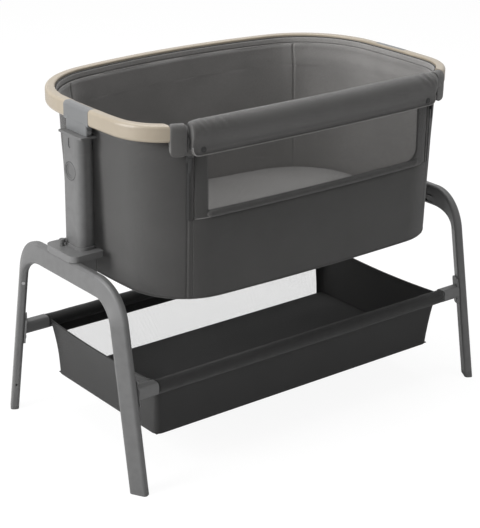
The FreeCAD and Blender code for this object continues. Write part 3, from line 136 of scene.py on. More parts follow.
def gap_at(z, overlap):
    """Half width of the opening for the drop side at height z; the lining reaches behind
    the panel by the overlap."""
    return GAP_BY_PANEL - overlap if z < GAP_STEP else GAP_BY_RAIL


def front_point(x, z, out=0.0, ring=None):
    """Point of the tub's front, or of another ring's, at x and height z, and its normal."""
    points, normals = tub_ring(z) if ring is None else ring
    order = np.arange(-FRONT_STEPS, FRONT_STEPS + 1)
    xs = points[order, 0]
    y = float(np.interp(x, xs, points[order, 1]))
    n = Vector((float(np.interp(x, xs, normals[order, 0])),
                float(np.interp(x, xs, normals[order, 1])), 0)).normalized()
    return Vector((x, y, z)) + n * out, n


def rim_front(x, z, out):
    """Point of the rim's front at x, out from its outline, at height z."""
    return front_point(x, z, out, RIM)[0]


# ------------------------------------------------------------------ meshes
def wobble(u, v, size, seed=0.0):
    """Smooth noise between about -1 and 1; size is the spacing of its swells."""
    return noise.noise(Vector((u / size, v / size, seed)))


def dip(distance, width):
    """1 on a line and 0 away from it."""
    return math.exp(-(distance / width) ** 2)


def make_piece(name, shape, finish, body, slot, *stands_for):
    """Mesh piece with a finish, riding on a body. shape is its points, its faces and one
    pair of cloth coordinates for each point, or an empty list."""
    points, faces, flat = shape
    mesh = bpy.data.meshes.new(name)
    mesh.from_pydata([tuple(p) for p in points], [], faces)
    mesh.validate()
    mesh.update()
    if flat:
        layer = mesh.uv_layers.new(name="cloth")
        for loop in mesh.loops:
            layer.data[loop.index].uv = flat[loop.vertex_index]
    for face in mesh.polygons:
        face.use_smooth = True
    mesh.materials.append(finish)
    piece = bpy.data.objects.new(name, mesh)
    bpy.context.scene.collection.objects.link(piece)
    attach(piece, body)
    if stands_for:
        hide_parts(*stands_for)
    return piece


def grid_faces(rows, columns, closed=False, first=0, flip=False):
    """Quads of a grid of rows by columns; closed joins the last column to the first."""
    faces = []
    for r in range(rows - 1):
        for c in range(columns if closed else columns - 1):
            n = (c + 1) % columns
            quad = [first + r * columns + c, first + r * columns + n,
                    first + (r + 1) * columns + n, first + (r + 1) * columns + c]
            faces.append(quad[::-1] if flip else quad)
    return faces


def skin(outer, inner, closed=False):
    """Points and faces of a closed shell between two grids of the same size."""
    rows, columns = len(outer), len(outer[0])
    points = [p for row in outer for p in row] + [p for row in inner for p in row]
    half = rows * columns
    faces = grid_faces(rows, columns, closed)
    faces += grid_faces(rows, columns, closed, half, True)
    for r in (0, rows - 1):
        for c in range(columns if closed else columns - 1):
            n = (c + 1) % columns
            a, b = r * columns + c, r * columns + n
            quad = [a, a + half, b + half, b]
            faces.append(quad if r == 0 else quad[::-1])
    if not closed:
        for c in (0, columns - 1):
            for r in range(rows - 1):
                a, b = r * columns + c, (r + 1) * columns + c
                quad = [a, b, b + half, a + half]
                faces.append(quad if c == 0 else quad[::-1])
    return points, faces


def two_layers(rows, columns, outer, inner, flat=lambda row, column: (column, row),
               closed=False):
    """Shape of a closed sheet of cloth between two surfaces. outer, inner and flat are
    functions of row and column; flat gives the cloth coordinates."""
    grids = [[[tuple(layer(r, c)) for c in columns] for r in rows] for layer in (outer, inner)]
    return skin(*grids, closed) + ([flat(r, c) for r in rows for c in columns] * 2,)


def loft(rings, flip=False):
    """Points and faces of a closed solid through rings of the same number of points."""
    rows, sides = len(rings), len(rings[0])
    ends = list(range(sides - 1, -1, -1)), [(rows - 1) * sides + s for s in range(sides)]
    faces = grid_faces(rows, sides, True, flip=flip)
    faces += [end[::-1] if flip else end for end in ends]
    return [p for ring in rings for p in ring], faces


def tube_along(path, radius, sides=8, squash=1.0):
    """Points and faces of a closed tube along a list of points; radius is a number or a
    function of the share of the way along."""
    path, last, rings = [Vector(p) for p in path], len(path) - 1, []
    for k, at in enumerate(path):
        along = (path[min(k + 1, last)] - path[max(k - 1, 0)]).normalized()
        across = along.cross(UP)
        across = across.normalized() if across.length > 1e-6 else Vector((1, 0, 0))
        high = across.cross(along).normalized()
        r = radius(k / last) if callable(radius) else radius
        turns = [2 * math.pi * s / sides for s in range(sides)]
        rings.append([at + across * (r * math.cos(turn)) + high * (r * squash * math.sin(turn))
                      for turn in turns])
    return loft(rings, True)


def make_piping(name, line, radius, finish, body, slot, along):
    """Round piping on a line. along gives a point's place along the cloth from its number
    on the line and the point itself."""
    sides = 8
    points, faces = tube_along(line, radius, sides)
    flat = [(along(k // sides, p), 0.001 * (k % sides)) for k, p in enumerate(points)]
    make_piece(name, (points, faces, flat), finish, body, slot)


def join(*shapes):
    """Joins shapes into one."""
    points, faces, flat = [], [], []
    for some, quads, pairs in shapes:
        faces += [[i + len(points) for i in quad] for quad in quads]
        points += list(some)
        flat += pairs
    return points, faces, flat


# ------------------------------------------------------------------ shader groups
def place(tree, kind, inputs=None, **settings):
    """Adds a shader node, sets its properties, and links or sets its inputs."""
    node = tree.nodes.new("ShaderNode" + kind)
    for name, value in settings.items():
        setattr(node, name, value)
    for key, value in (inputs or {}).items():
        socket = node.inputs[key]
        if isinstance(value, bpy.types.NodeSocket):
            tree.links.new(value, socket)
        else:
            socket.default_value = value
    return node


def calculate(tree, operation, a, b=0.0, clamp=False):
    """Result of a calculation; clamp keeps it between 0 and 1."""
    return place(tree, "Math", {0: a, 1: b}, operation=operation, use_clamp=clamp).outputs[0]


def mix_colour(tree, share, a, b, blend="MIX"):
    """Colour a with the share of colour b laid over it."""
    return place(tree, "Mix", {"Factor": share, 6: a, 7: b}, data_type="RGBA",
                 blend_type=blend).outputs[2]


def remap(tree, value, low, high, to_low=0.0, to_high=1.0):
    """Value moved from the range low to high into another, and held inside it."""
    return place(tree, "MapRange", {"Value": value, "From Min": low, "From Max": high,
                                    "To Min": to_low, "To Max": to_high}).outputs[0]


def new_group(name, takes, gives):
    """Empty node group. takes is (name, socket kind, start value), gives (name, kind)."""
    group = bpy.data.node_groups.new(name, "ShaderNodeTree")
    for socket, kind, start in takes:
        made = group.interface.new_socket(socket, in_out="INPUT", socket_type=kind)
        if start is not None:
            made.default_value = start
    for socket, kind in gives:
        group.interface.new_socket(socket, in_out="OUTPUT", socket_type=kind)
    return group, group.nodes.new("NodeGroupInput"), group.nodes.new("NodeGroupOutput")


FLOAT, COLOUR, VECTOR = "NodeSocketFloat", "NodeSocketColor", "NodeSocketVector"


def make_weave_group():
    """Plain weave of mixed light and dark yarns: colour and height."""
    group, given, out = new_group("mixed_yarn_weave", (
        ("Place", VECTOR, None), ("Pitch", FLOAT, 0.0009), ("Light Yarn", COLOUR, None),
        ("Dark Yarn", COLOUR, None), ("Fading", FLOAT, 0.1)),
        (("Colour", COLOUR), ("Height", FLOAT)))
    split = place(group, "SeparateXYZ", {0: given.outputs["Place"]})
    waves = []
    for axis in (0, 1):
        steps = calculate(group, "DIVIDE", split.outputs[axis], given.outputs["Pitch"])
        waves.append(calculate(group, "SINE", calculate(group, "MULTIPLY", steps, math.pi)))
    over = remap(group, calculate(group, "MULTIPLY", waves[0], waves[1]), -0.25, 0.25)
    lines = [calculate(group, "ABSOLUTE", wave) for wave in waves]
    height = place(group, "Mix", {"Factor": over, 2: lines[0], 3: lines[1]})
    group.links.new(height.outputs[0], out.inputs["Height"])
    streaks = []
    for stretch in ((1.0, 7.0, 1.0), (7.0, 1.0, 1.0)):
        spot = place(group, "VectorMath", {0: given.outputs["Place"], 1: stretch},
                     operation="MULTIPLY")
        yarn = place(group, "TexNoise", {"Vector": spot.outputs[0], "Scale": 160.0,
                                                   "Detail": 2.0, "Roughness": 0.7})
        streaks.append(yarn.outputs[0])
    streak = place(group, "Mix", {"Factor": over, 2: streaks[0], 3: streaks[1]})
    tone = remap(group, streak.outputs[0], 0.35, 0.65)
    colour = mix_colour(group, tone, given.outputs["Dark Yarn"], given.outputs["Light Yarn"])
    broad = place(group, "TexNoise", {"Vector": given.outputs["Place"],
                                                "Scale": 9.0, "Detail": 4.0})
    shade = remap(group, broad.outputs[0], 0.3, 0.7, -1.0, 1.0)
    shade = place(group, "Math", {0: shade, 1: given.outputs["Fading"], 2: 1.0},
                  operation="MULTIPLY_ADD")
    colour = place(group, "VectorMath", {0: colour, "Scale": shade.outputs[0]},
                   operation="SCALE")
    group.links.new(colour.outputs[0], out.inputs["Colour"])
    return group


def make_grain_group():
    """Fine grain of a moulded or powder-coated surface with faint uneven tone: a height, a
    roughness and a shade to multiply the colour by."""
    group, given, out = new_group("fine_grain", (
        ("Place", VECTOR, None), ("Grain Scale", FLOAT, 900.0), ("Roughness", FLOAT, 0.5),
        ("Unevenness", FLOAT, 0.06)),
        (("Height", FLOAT), ("Roughness", FLOAT), ("Shade", COLOUR)))
    grain = place(group, "TexVoronoi", {"Vector": given.outputs["Place"],
                                                  "Scale": given.outputs["Grain Scale"]})
    group.links.new(grain.outputs["Distance"], out.inputs["Height"])
    broad = place(group, "TexNoise", {"Vector": given.outputs["Place"],
                                                "Scale": 14.0, "Detail": 5.0,
                                                "Roughness": 0.6})
    swing = remap(group, broad.outputs[0], 0.3, 0.7, -1.0, 1.0)
    uneven = calculate(group, "MULTIPLY", swing, given.outputs["Unevenness"])
    rough = calculate(group, "ADD", given.outputs["Roughness"], uneven, True)
    group.links.new(rough, out.inputs["Roughness"])
    shade = calculate(group, "ADD", uneven, 1.0)
    grey = place(group, "CombineColor", {0: shade, 1: shade, 2: shade})
    group.links.new(grey.outputs[0], out.inputs["Shade"])
    return group


def make_edge_group():
    """Mask of the raised edges, broken up, where a finish is made paler."""
    group, given, out = new_group("paler_raised_edges", (
        ("Place", VECTOR, None), ("Amount", FLOAT, 0.5)), (("Mask", FLOAT),))
    shape = group.nodes.new("ShaderNodeNewGeometry")
    edge = remap(group, shape.outputs["Pointiness"], 0.52, 0.60)
    broken = place(group, "TexNoise", {"Vector": given.outputs["Place"],
                                                 "Scale": 60.0, "Detail": 4.0})
    patch = remap(group, broken.outputs[0], 0.35, 0.6)
    mask = calculate(group, "MULTIPLY", edge, patch)
    mask = calculate(group, "MULTIPLY", mask, given.outputs["Amount"], True)
    group.links.new(mask, out.inputs["Mask"])
    return group


NET_ROW_SPACING = 1.155


def make_net_group():
    """Knitted net: how much yarn covers each spot, with staggered round holes."""
    group, given, out = new_group("knitted_net", (
        ("Place", VECTOR, None), ("Pitch", FLOAT, 0.002), ("Hole", FLOAT, 0.36)),
        (("Yarn", FLOAT),))
    split = place(group, "SeparateXYZ", {0: given.outputs["Place"]})
    across = calculate(group, "DIVIDE", split.outputs[0], given.outputs["Pitch"])
    up = calculate(group, "DIVIDE", split.outputs[1], given.outputs["Pitch"])
    up = calculate(group, "MULTIPLY", up, NET_ROW_SPACING)
    row = calculate(group, "FLOOR", up)
    shift = calculate(group, "MULTIPLY", calculate(group, "MODULO", row, 2.0), 0.5)
    x = calculate(group, "FRACT", calculate(group, "ADD", across, shift))
    y = calculate(group, "FRACT", up)
    dx = calculate(group, "SUBTRACT", x, 0.5)
    dy = calculate(group, "SUBTRACT", y, 0.5)
    squares = [calculate(group, "MULTIPLY", d, d) for d in (dx, dy)]
    far = calculate(group, "SQRT", calculate(group, "ADD", *squares))
    edge = calculate(group, "SUBTRACT", far, given.outputs["Hole"])
    group.links.new(remap(group, edge, -0.05, 0.05), out.inputs["Yarn"])
    return group


WEAVE, GRAIN = make_weave_group(), make_grain_group()
EDGES, NET = make_edge_group(), make_net_group()


# ------------------------------------------------------------------ finishes
def empty_tree(owner):
    """Node tree of a material or of the world, with nothing in it."""
    owner.use_nodes = True
    owner.node_tree.nodes.clear()
    return owner.node_tree


def new_finish(name, **values):
    """Material, its node tree and its shader; values go to the shader's own sockets."""
    finish = bpy.data.materials.new(name)
    tree = empty_tree(finish)
    sockets = {key.replace("_", " "): value for key, value in values.items()}
    shader = place(tree, "BsdfPrincipled", sockets)
    place(tree, "OutputMaterial", {0: shader.outputs[0]})
    return finish, tree, shader


def where(tree, coordinates):
    """Place in metres: UV runs along the cloth, Object is the crib's own frame."""
    return place(tree, "TexCoord").outputs[coordinates]


def raise_by(tree, shader, height, distance, strength=1.0):
    """Bump on a shader: full height stands off by the distance."""
    bump = place(tree, "Bump", {"Height": height, "Strength": strength,
                                "Distance": distance})
    tree.links.new(bump.outputs[0], shader.inputs["Normal"])


def grey(value, warm=0.0):
    """Grey colour; warm moves it from blue to red."""
    return (value * (1 + warm), value, value * (1 - warm), 1.0)


# How deep the grain of hard finishes and the yarn of nets stand.
GRAIN_DEPTH, NET_DEPTH = 0.00008, 0.0003


def make_cloth(name, light, dark, pitch=0.0009, sheen=0.25, depth=0.0003, warm=0.02):
    """Woven polyester of a light and a dark yarn, matt with a soft sheen."""
    finish, tree, shader = new_finish(name, Roughness=0.92, Sheen_Weight=sheen,
                                      Sheen_Roughness=0.5)
    weave = place(tree, "Group", {
        "Place": where(tree, "UV"), "Pitch": pitch, "Light Yarn": grey(light, warm),
        "Dark Yarn": grey(dark, warm), "Fading": 0.10}, node_tree=WEAVE)
    tree.links.new(weave.outputs["Colour"], shader.inputs["Base Color"])
    raise_by(tree, shader, weave.outputs["Height"], depth)
    return finish


def make_hard(name, colour, roughness, metallic=0.0, grain=900.0, coat=0.0, edge_paling=0.25):
    """Moulded, coated or metal finish with fine grain and its raised edges made paler."""
    finish, tree, shader = new_finish(name, Metallic=metallic, Coat_Weight=coat,
                                      Coat_Roughness=0.3)
    spot = where(tree, "Object")
    fine = place(tree, "Group", {"Place": spot, "Grain Scale": grain, "Roughness": roughness,
                                 "Unevenness": 0.04}, node_tree=GRAIN)
    pale_edges = place(tree, "Group", {"Place": spot, "Amount": edge_paling}, node_tree=EDGES)
    base = mix_colour(tree, 1.0, colour, fine.outputs["Shade"], "MULTIPLY")
    # The raised edges are made paler by the edge mask.
    paler = tuple(min(1.0, c * 1.5) for c in colour[:3]) + (1.0,)
    base = mix_colour(tree, pale_edges.outputs["Mask"], base, paler)
    tree.links.new(base, shader.inputs["Base Color"])
    tree.links.new(fine.outputs["Roughness"], shader.inputs["Roughness"])
    raise_by(tree, shader, fine.outputs["Height"], GRAIN_DEPTH, 0.6)
    return finish


def make_net(name, colour, pitch, hole, least, most):
    """See-through knitted net; least and most are its cover in a hole and on a yarn."""
    finish, tree, shader = new_finish(name, Roughness=0.9)
    spot = where(tree, "UV")
    net = place(tree, "Group", {"Place": spot, "Pitch": pitch, "Hole": hole}, node_tree=NET)
    cover = remap(tree, net.outputs["Yarn"], 0.0, 1.0, least, most)
    tree.links.new(cover, shader.inputs["Alpha"])
    fluff = place(tree, "TexNoise", {"Vector": spot, "Scale": 120.0, "Detail": 3.0})
    tone = remap(tree, fluff.outputs[0], 0.3, 0.7, 0.85, 1.1)
    base = place(tree, "VectorMath", {0: colour[:3], "Scale": tone}, operation="SCALE")
    tree.links.new(base.outputs[0], shader.inputs["Base Color"])
    raise_by(tree, shader, net.outputs["Yarn"], NET_DEPTH)
    return finish


TUB_CLOTH = make_cloth("dark_mixed_weave", 0.045, 0.029, warm=0.035)
RAIL_CLOTH = make_cloth("padded_rail_weave", 0.080, 0.053, sheen=0.35, warm=0.035)
PALE_PIPING = make_cloth("pale_piping", 0.26, 0.19, pitch=0.0006, warm=0.03)
LINER_CLOTH = make_cloth("inner_lining_knit", 0.20, 0.15, pitch=0.0012, sheen=0.3, warm=0.03)
BAND_CLOTH = make_cloth("rim_band_net_cloth", 0.30, 0.20, pitch=0.0016, warm=0.03)
BASKET_CLOTH = make_cloth("basket_oxford_weave", 0.013, 0.0075, pitch=0.0011, sheen=0.15,
                          warm=0.03)
BOARD_CLOTH = make_cloth("basket_base_weave", 0.012, 0.008, pitch=0.0011, sheen=0.1)
MATTRESS_KNIT = make_cloth("mattress_spacer_knit", 0.31, 0.23, pitch=0.0024, depth=0.0006)
# Dark cloth for the line under the rim: painted shade of the groove between rim and band.
GROOVE_SHADE_TAPE = make_cloth("rim_groove_painted_shade", 0.020, 0.013, pitch=0.0006, warm=0.03)
SIDE_NET = make_net("side_window_net", (0.125, 0.121, 0.116, 1), 0.0022, 0.42, 0.03, 0.85)
BASKET_NET = make_net("basket_pale_net", (0.55, 0.55, 0.55, 1), 0.0030, 0.36, 0.03, 0.30)
FRAME_GREY = make_hard("frame_powder_coat", grey(0.088), 0.42, grain=700.0, coat=0.15)
MOULDED_GREY = make_hard("moulded_joint_grey", grey(0.112), 0.48, grain=1100.0)
POST_GREY = make_hard("moulded_post_grey", grey(0.102), 0.45, grain=1100.0)
SHOE_GREY = make_hard("moulded_shoe_grey", grey(0.120), 0.45, grain=1100.0)
FOOT_GREY = make_hard("moulded_foot_grey", grey(0.090), 0.6)
BUTTON_GREY = make_hard("button_grey", grey(0.085), 0.40, grain=1300.0)
CLIP_GREY = make_hard("clip_satin_grey", (0.125, 0.128, 0.130, 1), 0.45, coat=0.1)
RIM_BEIGE = make_hard("rim_beige", (0.29, 0.247, 0.188, 1), 0.40, grain=1400.0, coat=0.2,
                      edge_paling=0.1)
BAR_DARK = make_hard("crossbar_dark_coat", grey(0.05), 0.45)
BRIGHT_ALLOY = make_hard("anodised_alloy", grey(0.45), 0.32, metallic=1.0, edge_paling=0.0)
SCREW_STEEL = make_hard("screw_steel", grey(0.30), 0.38, metallic=1.0, edge_paling=0.4)
SNAP_DARK = make_hard("snap_dark_metal", grey(0.022), 0.4, metallic=0.3, edge_paling=0.5)
GLIDE_BLACK = make_hard("glide_black", grey(0.02), 0.5)
CORE_COAT = make_hard("rim_core_coat", grey(0.06), 0.5)
FLOOR_BOARD = make_hard("tub_hardboard", (0.16, 0.10, 0.06, 1), 0.8, grain=300.0)
ZIP_BLACK = make_hard("zip_dark_plastic", grey(0.022), 0.4, grain=1200.0)


def dress_frame():
    """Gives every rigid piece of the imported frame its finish."""
    finishes = {
        "top_bar": FRAME_GREY, "leg_": FRAME_GREY, "elbow_": MOULDED_GREY,
        "socket_": MOULDED_GREY, "foot_": FOOT_GREY, "crossbar_": BAR_DARK,
        "shoe_": SHOE_GREY, "outer_post": POST_GREY, "collar_": POST_GREY,
        "release_button": BUTTON_GREY, "slide_knob": BUTTON_GREY,
        "inner_post": BRIGHT_ALLOY, "post_glide": GLIDE_BLACK, "rim_clip": CLIP_GREY,
        "rim_cover": RIM_BEIGE, "rim_core": CORE_COAT, "side_rail_core": CORE_COAT,
        "tub_floor": FLOOR_BOARD, "zip_teeth": ZIP_BLACK, "zip_slider": ZIP_BLACK,
        "leg_pins": SCREW_STEEL, "socket_screws": SCREW_STEEL, "clip_screws": SCREW_STEEL,
    }
    for name, node in frame["nodes"].items():
        best = max((key for key in finishes if name.startswith(key)), key=len, default=None)
        if best:
            node.data.materials.clear()
            node.data.materials.append(finishes[best])


dress_frame()

# ------------------------------------------------------------------ tub cloth
# Thickness of the outer cloth and of the lining, where their upright seams are, and the
# heights at which both end.
SHELL_CLOTH, LINER_THICK = 0.0025, 0.003
SEAM_X, LINER_SEAM_X = 0.317, 0.304
TUB_EDGE, LINER_EDGE = 0.716, 0.702
PIPING_RADIUS, GROOVE_SHADE_RADIUS, TAPE_RADIUS = 0.0013, 0.0014, 0.0014
# About the way round the back, and how far from an edge or a seam its points are close.
ROUND_LENGTH = 1.72
FINE_NEAR_EDGE, FINE_BY_SEAM = 0.02, 0.010
# Height at which the cloth across the front ends, just under the fold; half the length over
# which its points are evenly spaced; and a shift that gives the front swells of its own.
FRONT_TOP, FRONT_EVEN, FRONT_SHIFT = SIDE_LOW - 0.0006, 0.294, 5.0


def side_seam(x):
    """Depth of the upright seams in line with the zips: a groove with a soft ridge inside."""
    off = abs(x) - SEAM_X
    return -0.0014 * dip(off, 0.0013) + 0.0008 * dip(off + 0.0035, 0.0022)


def tub_swell(u, z):
    """How far the stretched outer cloth stands off its plain shape."""
    low = max(0.0, min(1.0, (z - TUB_LOW) / (SHOULDER - TUB_LOW)))
    middle = 4 * low * (1 - low)
    swell = 0.0011 * wobble(u, z * 1.6, 0.16, 3.0) * (0.3 + middle)
    return swell + 0.0005 * wobble(u, z, 0.045, 8.0)


def back_path(z, ring, shares, overlap=0.0):
    """Points, normals and distances at shares of the way from the right edge of the opening
    round the back to its left edge."""
    points, normals = ring
    gap = gap_at(z, overlap)
    at_right = int(np.searchsorted(points[:FRONT_STEPS + 1, 0], gap))
    order = range(at_right, len(points) - at_right + 1)
    (start, n0), (stop, n1) = (front_point(x, z, 0.0, ring) for x in (gap, -gap))
    chain = np.concatenate([[start.xy], points[order], [stop.xy]])
    facing = np.concatenate([[n0.xy], normals[order], [n1.xy]])
    steps = np.linalg.norm(np.diff(chain, axis=0), axis=1)
    along = np.concatenate([[0], np.cumsum(steps)])
    wanted = shares * along[-1]
    spots, faces = (np.stack([np.interp(wanted, along, line[:, k]) for k in (0, 1)], 1)
                    for line in (chain, facing))
    return spots, faces, wanted


def seam_share(tries=2000):
    """Share of the way round the back at which the lining's first seam lies."""
    points = back_path(RIM_LOW, HIGH, np.linspace(0, 1, tries))[0]
    first = next(k for k, p in enumerate(points) if p[1] > 0 and p[0] < LINER_SEAM_X)
    return first / (tries - 1)


def shares_round(count=150):
    """Shares of the way round the back, closer together by the edges and the seams."""
    seam = seam_share()
    edge = np.arange(0, FINE_NEAR_EDGE, 0.0016) / ROUND_LENGTH
    by_seam = seam + np.linspace(-FINE_BY_SEAM, FINE_BY_SEAM, 17) / ROUND_LENGTH
    first, clear = FINE_NEAR_EDGE / ROUND_LENGTH, (FINE_BY_SEAM + 0.0005) / ROUND_LENGTH
    middle = [m for m in np.linspace(first, 1 - first, count)
              if min(abs(m - seam), abs(1 - m - seam)) > clear]
    return np.sort(np.concatenate([edge, middle, by_seam, 1 - by_seam, 1 - edge]))


def curtain(heights, out, thick, swell, overlap=0.0):
    """Shape of a closed shell that follows the tub: round the back at all heights, and
    across the front up to the fold. swell is how far it stands off at u, x, y and z."""
    rings = {z: tub_ring(z) for z in heights}
    shares = shares_round()
    way = {z: list(zip(*back_path(z, rings[z], shares, overlap))) for z in heights}

    def behind(depth, softness):
        def spot(z, k):
            p, n, u = way[z][k]
            d = depth + swell(u, p[0], p[1], z) * softness
            return p[0] + n[0] * d, p[1] + n[1] * d, z
        return spot

    def before(depth, softness):
        def spot(z, x):
            p, n = front_point(x, z, 0.0, rings[z])
            return p + n * (depth + swell(x + FRONT_SHIFT, x, p.y, z) * softness)
        return spot

    back = two_layers(heights, range(len(shares)), behind(out, 1.0), behind(out - thick, 0.6),
                      lambda z, k: (way[z][k][2] + GAP_BY_PANEL, z))
    lower = [z for z in heights if z <= FRONT_TOP]
    if not lower:
        return back
    edge = np.linspace(FRONT_EVEN + 0.006, GAP_BY_PANEL, 6)
    xs = np.concatenate([-edge[::-1], np.linspace(-FRONT_EVEN, FRONT_EVEN, 99), edge])
    return join(back, two_layers(lower, xs, before(out, 1.0), before(out - thick, 0.0)))


def heights_between(low, high, steps, extra=()):
    """Even heights from low to high, with extra ones put in."""
    return sorted(set(np.round(np.linspace(low, high, steps), 5)) | set(extra))


# Heights just below and above the step in the opening's width.
GAP_HEIGHTS = (GAP_STEP - 0.0005, GAP_STEP + 0.0005)


def build_tub_cloth():
    """Outer cloth: lower edge turned under, seams beside the zips, and a flat bottom."""
    def swell(u, x, y, z):
        up = z - TUB_LOW
        hem = -0.0010 * dip(up - 0.0045, 0.0012) + 0.0008 * dip(up, 0.003)
        tuck = -0.002 * dip(up + 0.0005, 0.0012)
        low = hem + tuck + tub_swell(u, z) * min(1.0, up / 0.02)
        if y > 0:
            return low
        fold = -0.0010 * dip(z - SIDE_LOW + 0.001, 0.0015) if abs(x) < SEAM_X else 0.0
        return low + side_seam(x) + fold

    extra = [TUB_LOW + d for d in (0.0007, 0.0016, 0.003, 0.0045, 0.006)]
    extra += [SIDE_LOW + d for d in (-0.003, -0.002, -0.001, 0.002)]
    extra += [*GAP_HEIGHTS, SHOULDER, RIM_LOW]
    walls = curtain(heights_between(TUB_LOW, TUB_EDGE, 48, extra), -0.0004,
                    SHELL_CLOTH - 0.0006, swell)
    under, over = [], []
    for share in (1.0, 0.85, 0.6, 0.3, 0.02):
        row = [(x * share, y * share, TUB_LOW + 0.0006 + 0.0012
                * wobble(x * share, y * share, 0.12, 5.0) * (1 - share ** 4))
               for x, y in tub_ring(TUB_LOW, -0.0022)[0]]
        under.append(row)
        over.append([(x, y, z + 0.0015) for x, y, z in row])
    bottom = skin(over, under, True) + ([(x, y) for row in under for x, y, z in row] * 2,)
    make_piece("tub_outer_cloth", join(walls, bottom), TUB_CLOTH, "tub", "tub_fabric",
               "tub_shell")


def build_liner():
    """Padded lining with an upright seam at each rear corner, a light piping along the lining,
    and a dark line under the rim that is painted shade of the groove there."""
    def swell(u, x, y, z):
        puff = -0.0016 * wobble(u, z, 0.09, 12.0) - 0.0012
        if y > 0:
            off = abs(x) - LINER_SEAM_X
            puff += 0.0045 * dip(off, 0.0020) - 0.0030 * dip(off, 0.016)
        return puff

    heights = heights_between(TUB_LOW + 0.004, LINER_EDGE, 36, GAP_HEIGHTS)
    lining = curtain(heights, -SHELL_CLOTH - 0.0008, LINER_THICK, swell, 0.0045)
    make_piece("tub_padded_lining", lining, LINER_CLOTH, "tub", "liner_fabric", "tub_liner")
    band = curtain(np.linspace(LINER_EDGE + 0.001, TUB_EDGE - 0.0006, 5), -0.0026, 0.0007,
                   lambda u, x, y, z: 0.0)
    make_piece("rim_inner_band", band, BAND_CLOTH, "tub", "liner_fabric")
    # The dark line under the rim is painted shade of its groove; the pale one is piping.
    for name, z, inset, radius, finish in (
            ("lining_piping", LINER_EDGE, -0.0058, PIPING_RADIUS, PALE_PIPING),
            ("rim_groove_shade", TUB_EDGE, -0.0019, GROOVE_SHADE_RADIUS, GROOVE_SHADE_TAPE)):
        points, normals, along = back_path(z, tub_ring(z), shares_round(220))
        line = [(p[0] + n[0] * inset, p[1] + n[1] * inset, z)
                for p, n in zip(points, normals)]
        make_piping(name, line, radius, finish, "tub", "liner_fabric", lambda k, p: along[k])


# ------------------------------------------------------------------ padded rail and sleeves
# Corners of the sections round the rim: how far out from the rim's outline, and how high.
RAIL_SECTION = (
    (-0.0196, 0.6680), (-0.0204, 0.6850), (-0.0205, 0.7030), (-0.0192, 0.7165),
    (-0.0125, 0.7250), (-0.0030, 0.7270), (0.0065, 0.7245), (0.0128, 0.7165),
    (0.0148, 0.7045), (0.0125, 0.6920), (0.0094, 0.6805), (0.0083, 0.6700),
    (0.0084, 0.6620), (0.0064, 0.6592), (0.0036, 0.6602), (0.0018, 0.6650),
    (-0.0040, 0.6655), (-0.0130, 0.6650))


def smooth_loop(corners, steps):
    """Points of a closed curve that passes near the corners (a cubic B-spline)."""
    corners, count, made = np.array(corners), len(corners), []
    for k in range(count):
        a, b, c, d = (corners[(k + j) % count] for j in (-1, 0, 1, 2))
        for t in np.linspace(0, 1, steps, endpoint=False):
            made.append(((1 - t) ** 3 * a + (3 * t ** 3 - 6 * t ** 2 + 4) * b
                         + (-3 * t ** 3 + 3 * t ** 2 + 3 * t + 1) * c + t ** 3 * d) / 6)
    return made


# Spacing along the rail, how much narrower its ends are, how far in from an end its corners
# are rounded, and half its depth.
RAIL_STEP, END_NARROWER, CORNER_REACH, HALF_DEEP = 0.0035, 0.14, 0.011, 0.035


def sweep_rail(name, x0, x1, section, swell, body, slot, stands_for, ease, lift):
    """Closed padded piece along the rim's front between x0 and x1. It narrows over the ease
    at both ends, and the lift is how far its lower corners are rounded up."""
    loop = smooth_loop(section, 4)
    middle = np.mean(loop, 0)
    last = (x1 - x0) / ease
    steps = np.linspace(1, last - 1, max(12, int((x1 - x0) / RAIL_STEP)))
    steps = np.concatenate([[0.0, 0.15, 0.5], steps, [last - 0.5, last - 0.15, last]])
    xs = steps * ease + x0
    rings, flat = [], []
    for x in xs:
        inset = min(x - x0, x1 - x) / ease
        shrink = 1 - END_NARROWER * (1 - math.sqrt(max(0.0, 1 - (1 - min(1.0, inset)) ** 2)))
        rise = lift * max(0.0, 1 - inset * ease / CORNER_REACH) ** 2
        ring, girth = [], 0.0
        for k, (out, z) in enumerate(loop):
            away = np.array([out, z]) - middle
            spot = middle + away * (shrink + swell(x, out, z) / float(np.linalg.norm(away)))
            spot[1] += rise * max(0.0, (middle[1] - spot[1]) / HALF_DEEP)
            ring.append(rim_front(x, float(spot[1]), float(spot[0])))
            flat.append((x, girth))
            girth += float(np.linalg.norm(np.array(loop[(k + 1) % len(loop)]) - (out, z)))
        rings.append(ring)
    return make_piece(name, loft(rings) + (flat,), RAIL_CLOTH, body, slot, stands_for)


def build_rail():
    """Padded rail with a pale piping along its hem that turns up at both ends."""
    def swell(x, out, z):
        ends = math.exp(-(RAIL_HALF - abs(x)) / 0.045)
        high = max(0.0, min(1.0, (z - 0.676) / 0.03))
        soft = 0.0012 * wobble(x, z * 1.5 + out, 0.06, 1.0) + 0.0030 * (1 - ends) * high
        crease = 0.0034 * ends * high * wobble(x * 1.3 + z, z * 0.35 - x * 0.3, 0.012, 4.0)
        hem = -0.0012 * dip(z - 0.6665, 0.0018) if out > 0 else 0.0
        return soft + crease + hem - 0.0004

    rail = sweep_rail("rail_padding", -RAIL_HALF, RAIL_HALF, RAIL_SECTION, swell, "drop_side",
                      "rail_fabric", "side_rail_pad", 0.004, 0.008)
    corner = [(RAIL_HALF - inset, HEM + up) for inset, up in (
        (0.0012, 0.018), (0.0016, 0.012), (0.0035, 0.006), (0.008, 0.0016))]
    straight = np.linspace(0.016 - RAIL_HALF, RAIL_HALF - 0.016, 150)
    along = [(-x, z) for x, z in corner] + [(x, HEM + 0.0002) for x in straight]
    line = [rim_front(x, z, 0.0086) for x, z in along + corner[::-1]]
    make_piping("rail_hem_piping", line, PIPING_RADIUS, PALE_PIPING, "drop_side",
                "rail_fabric", lambda k, p: p[0])


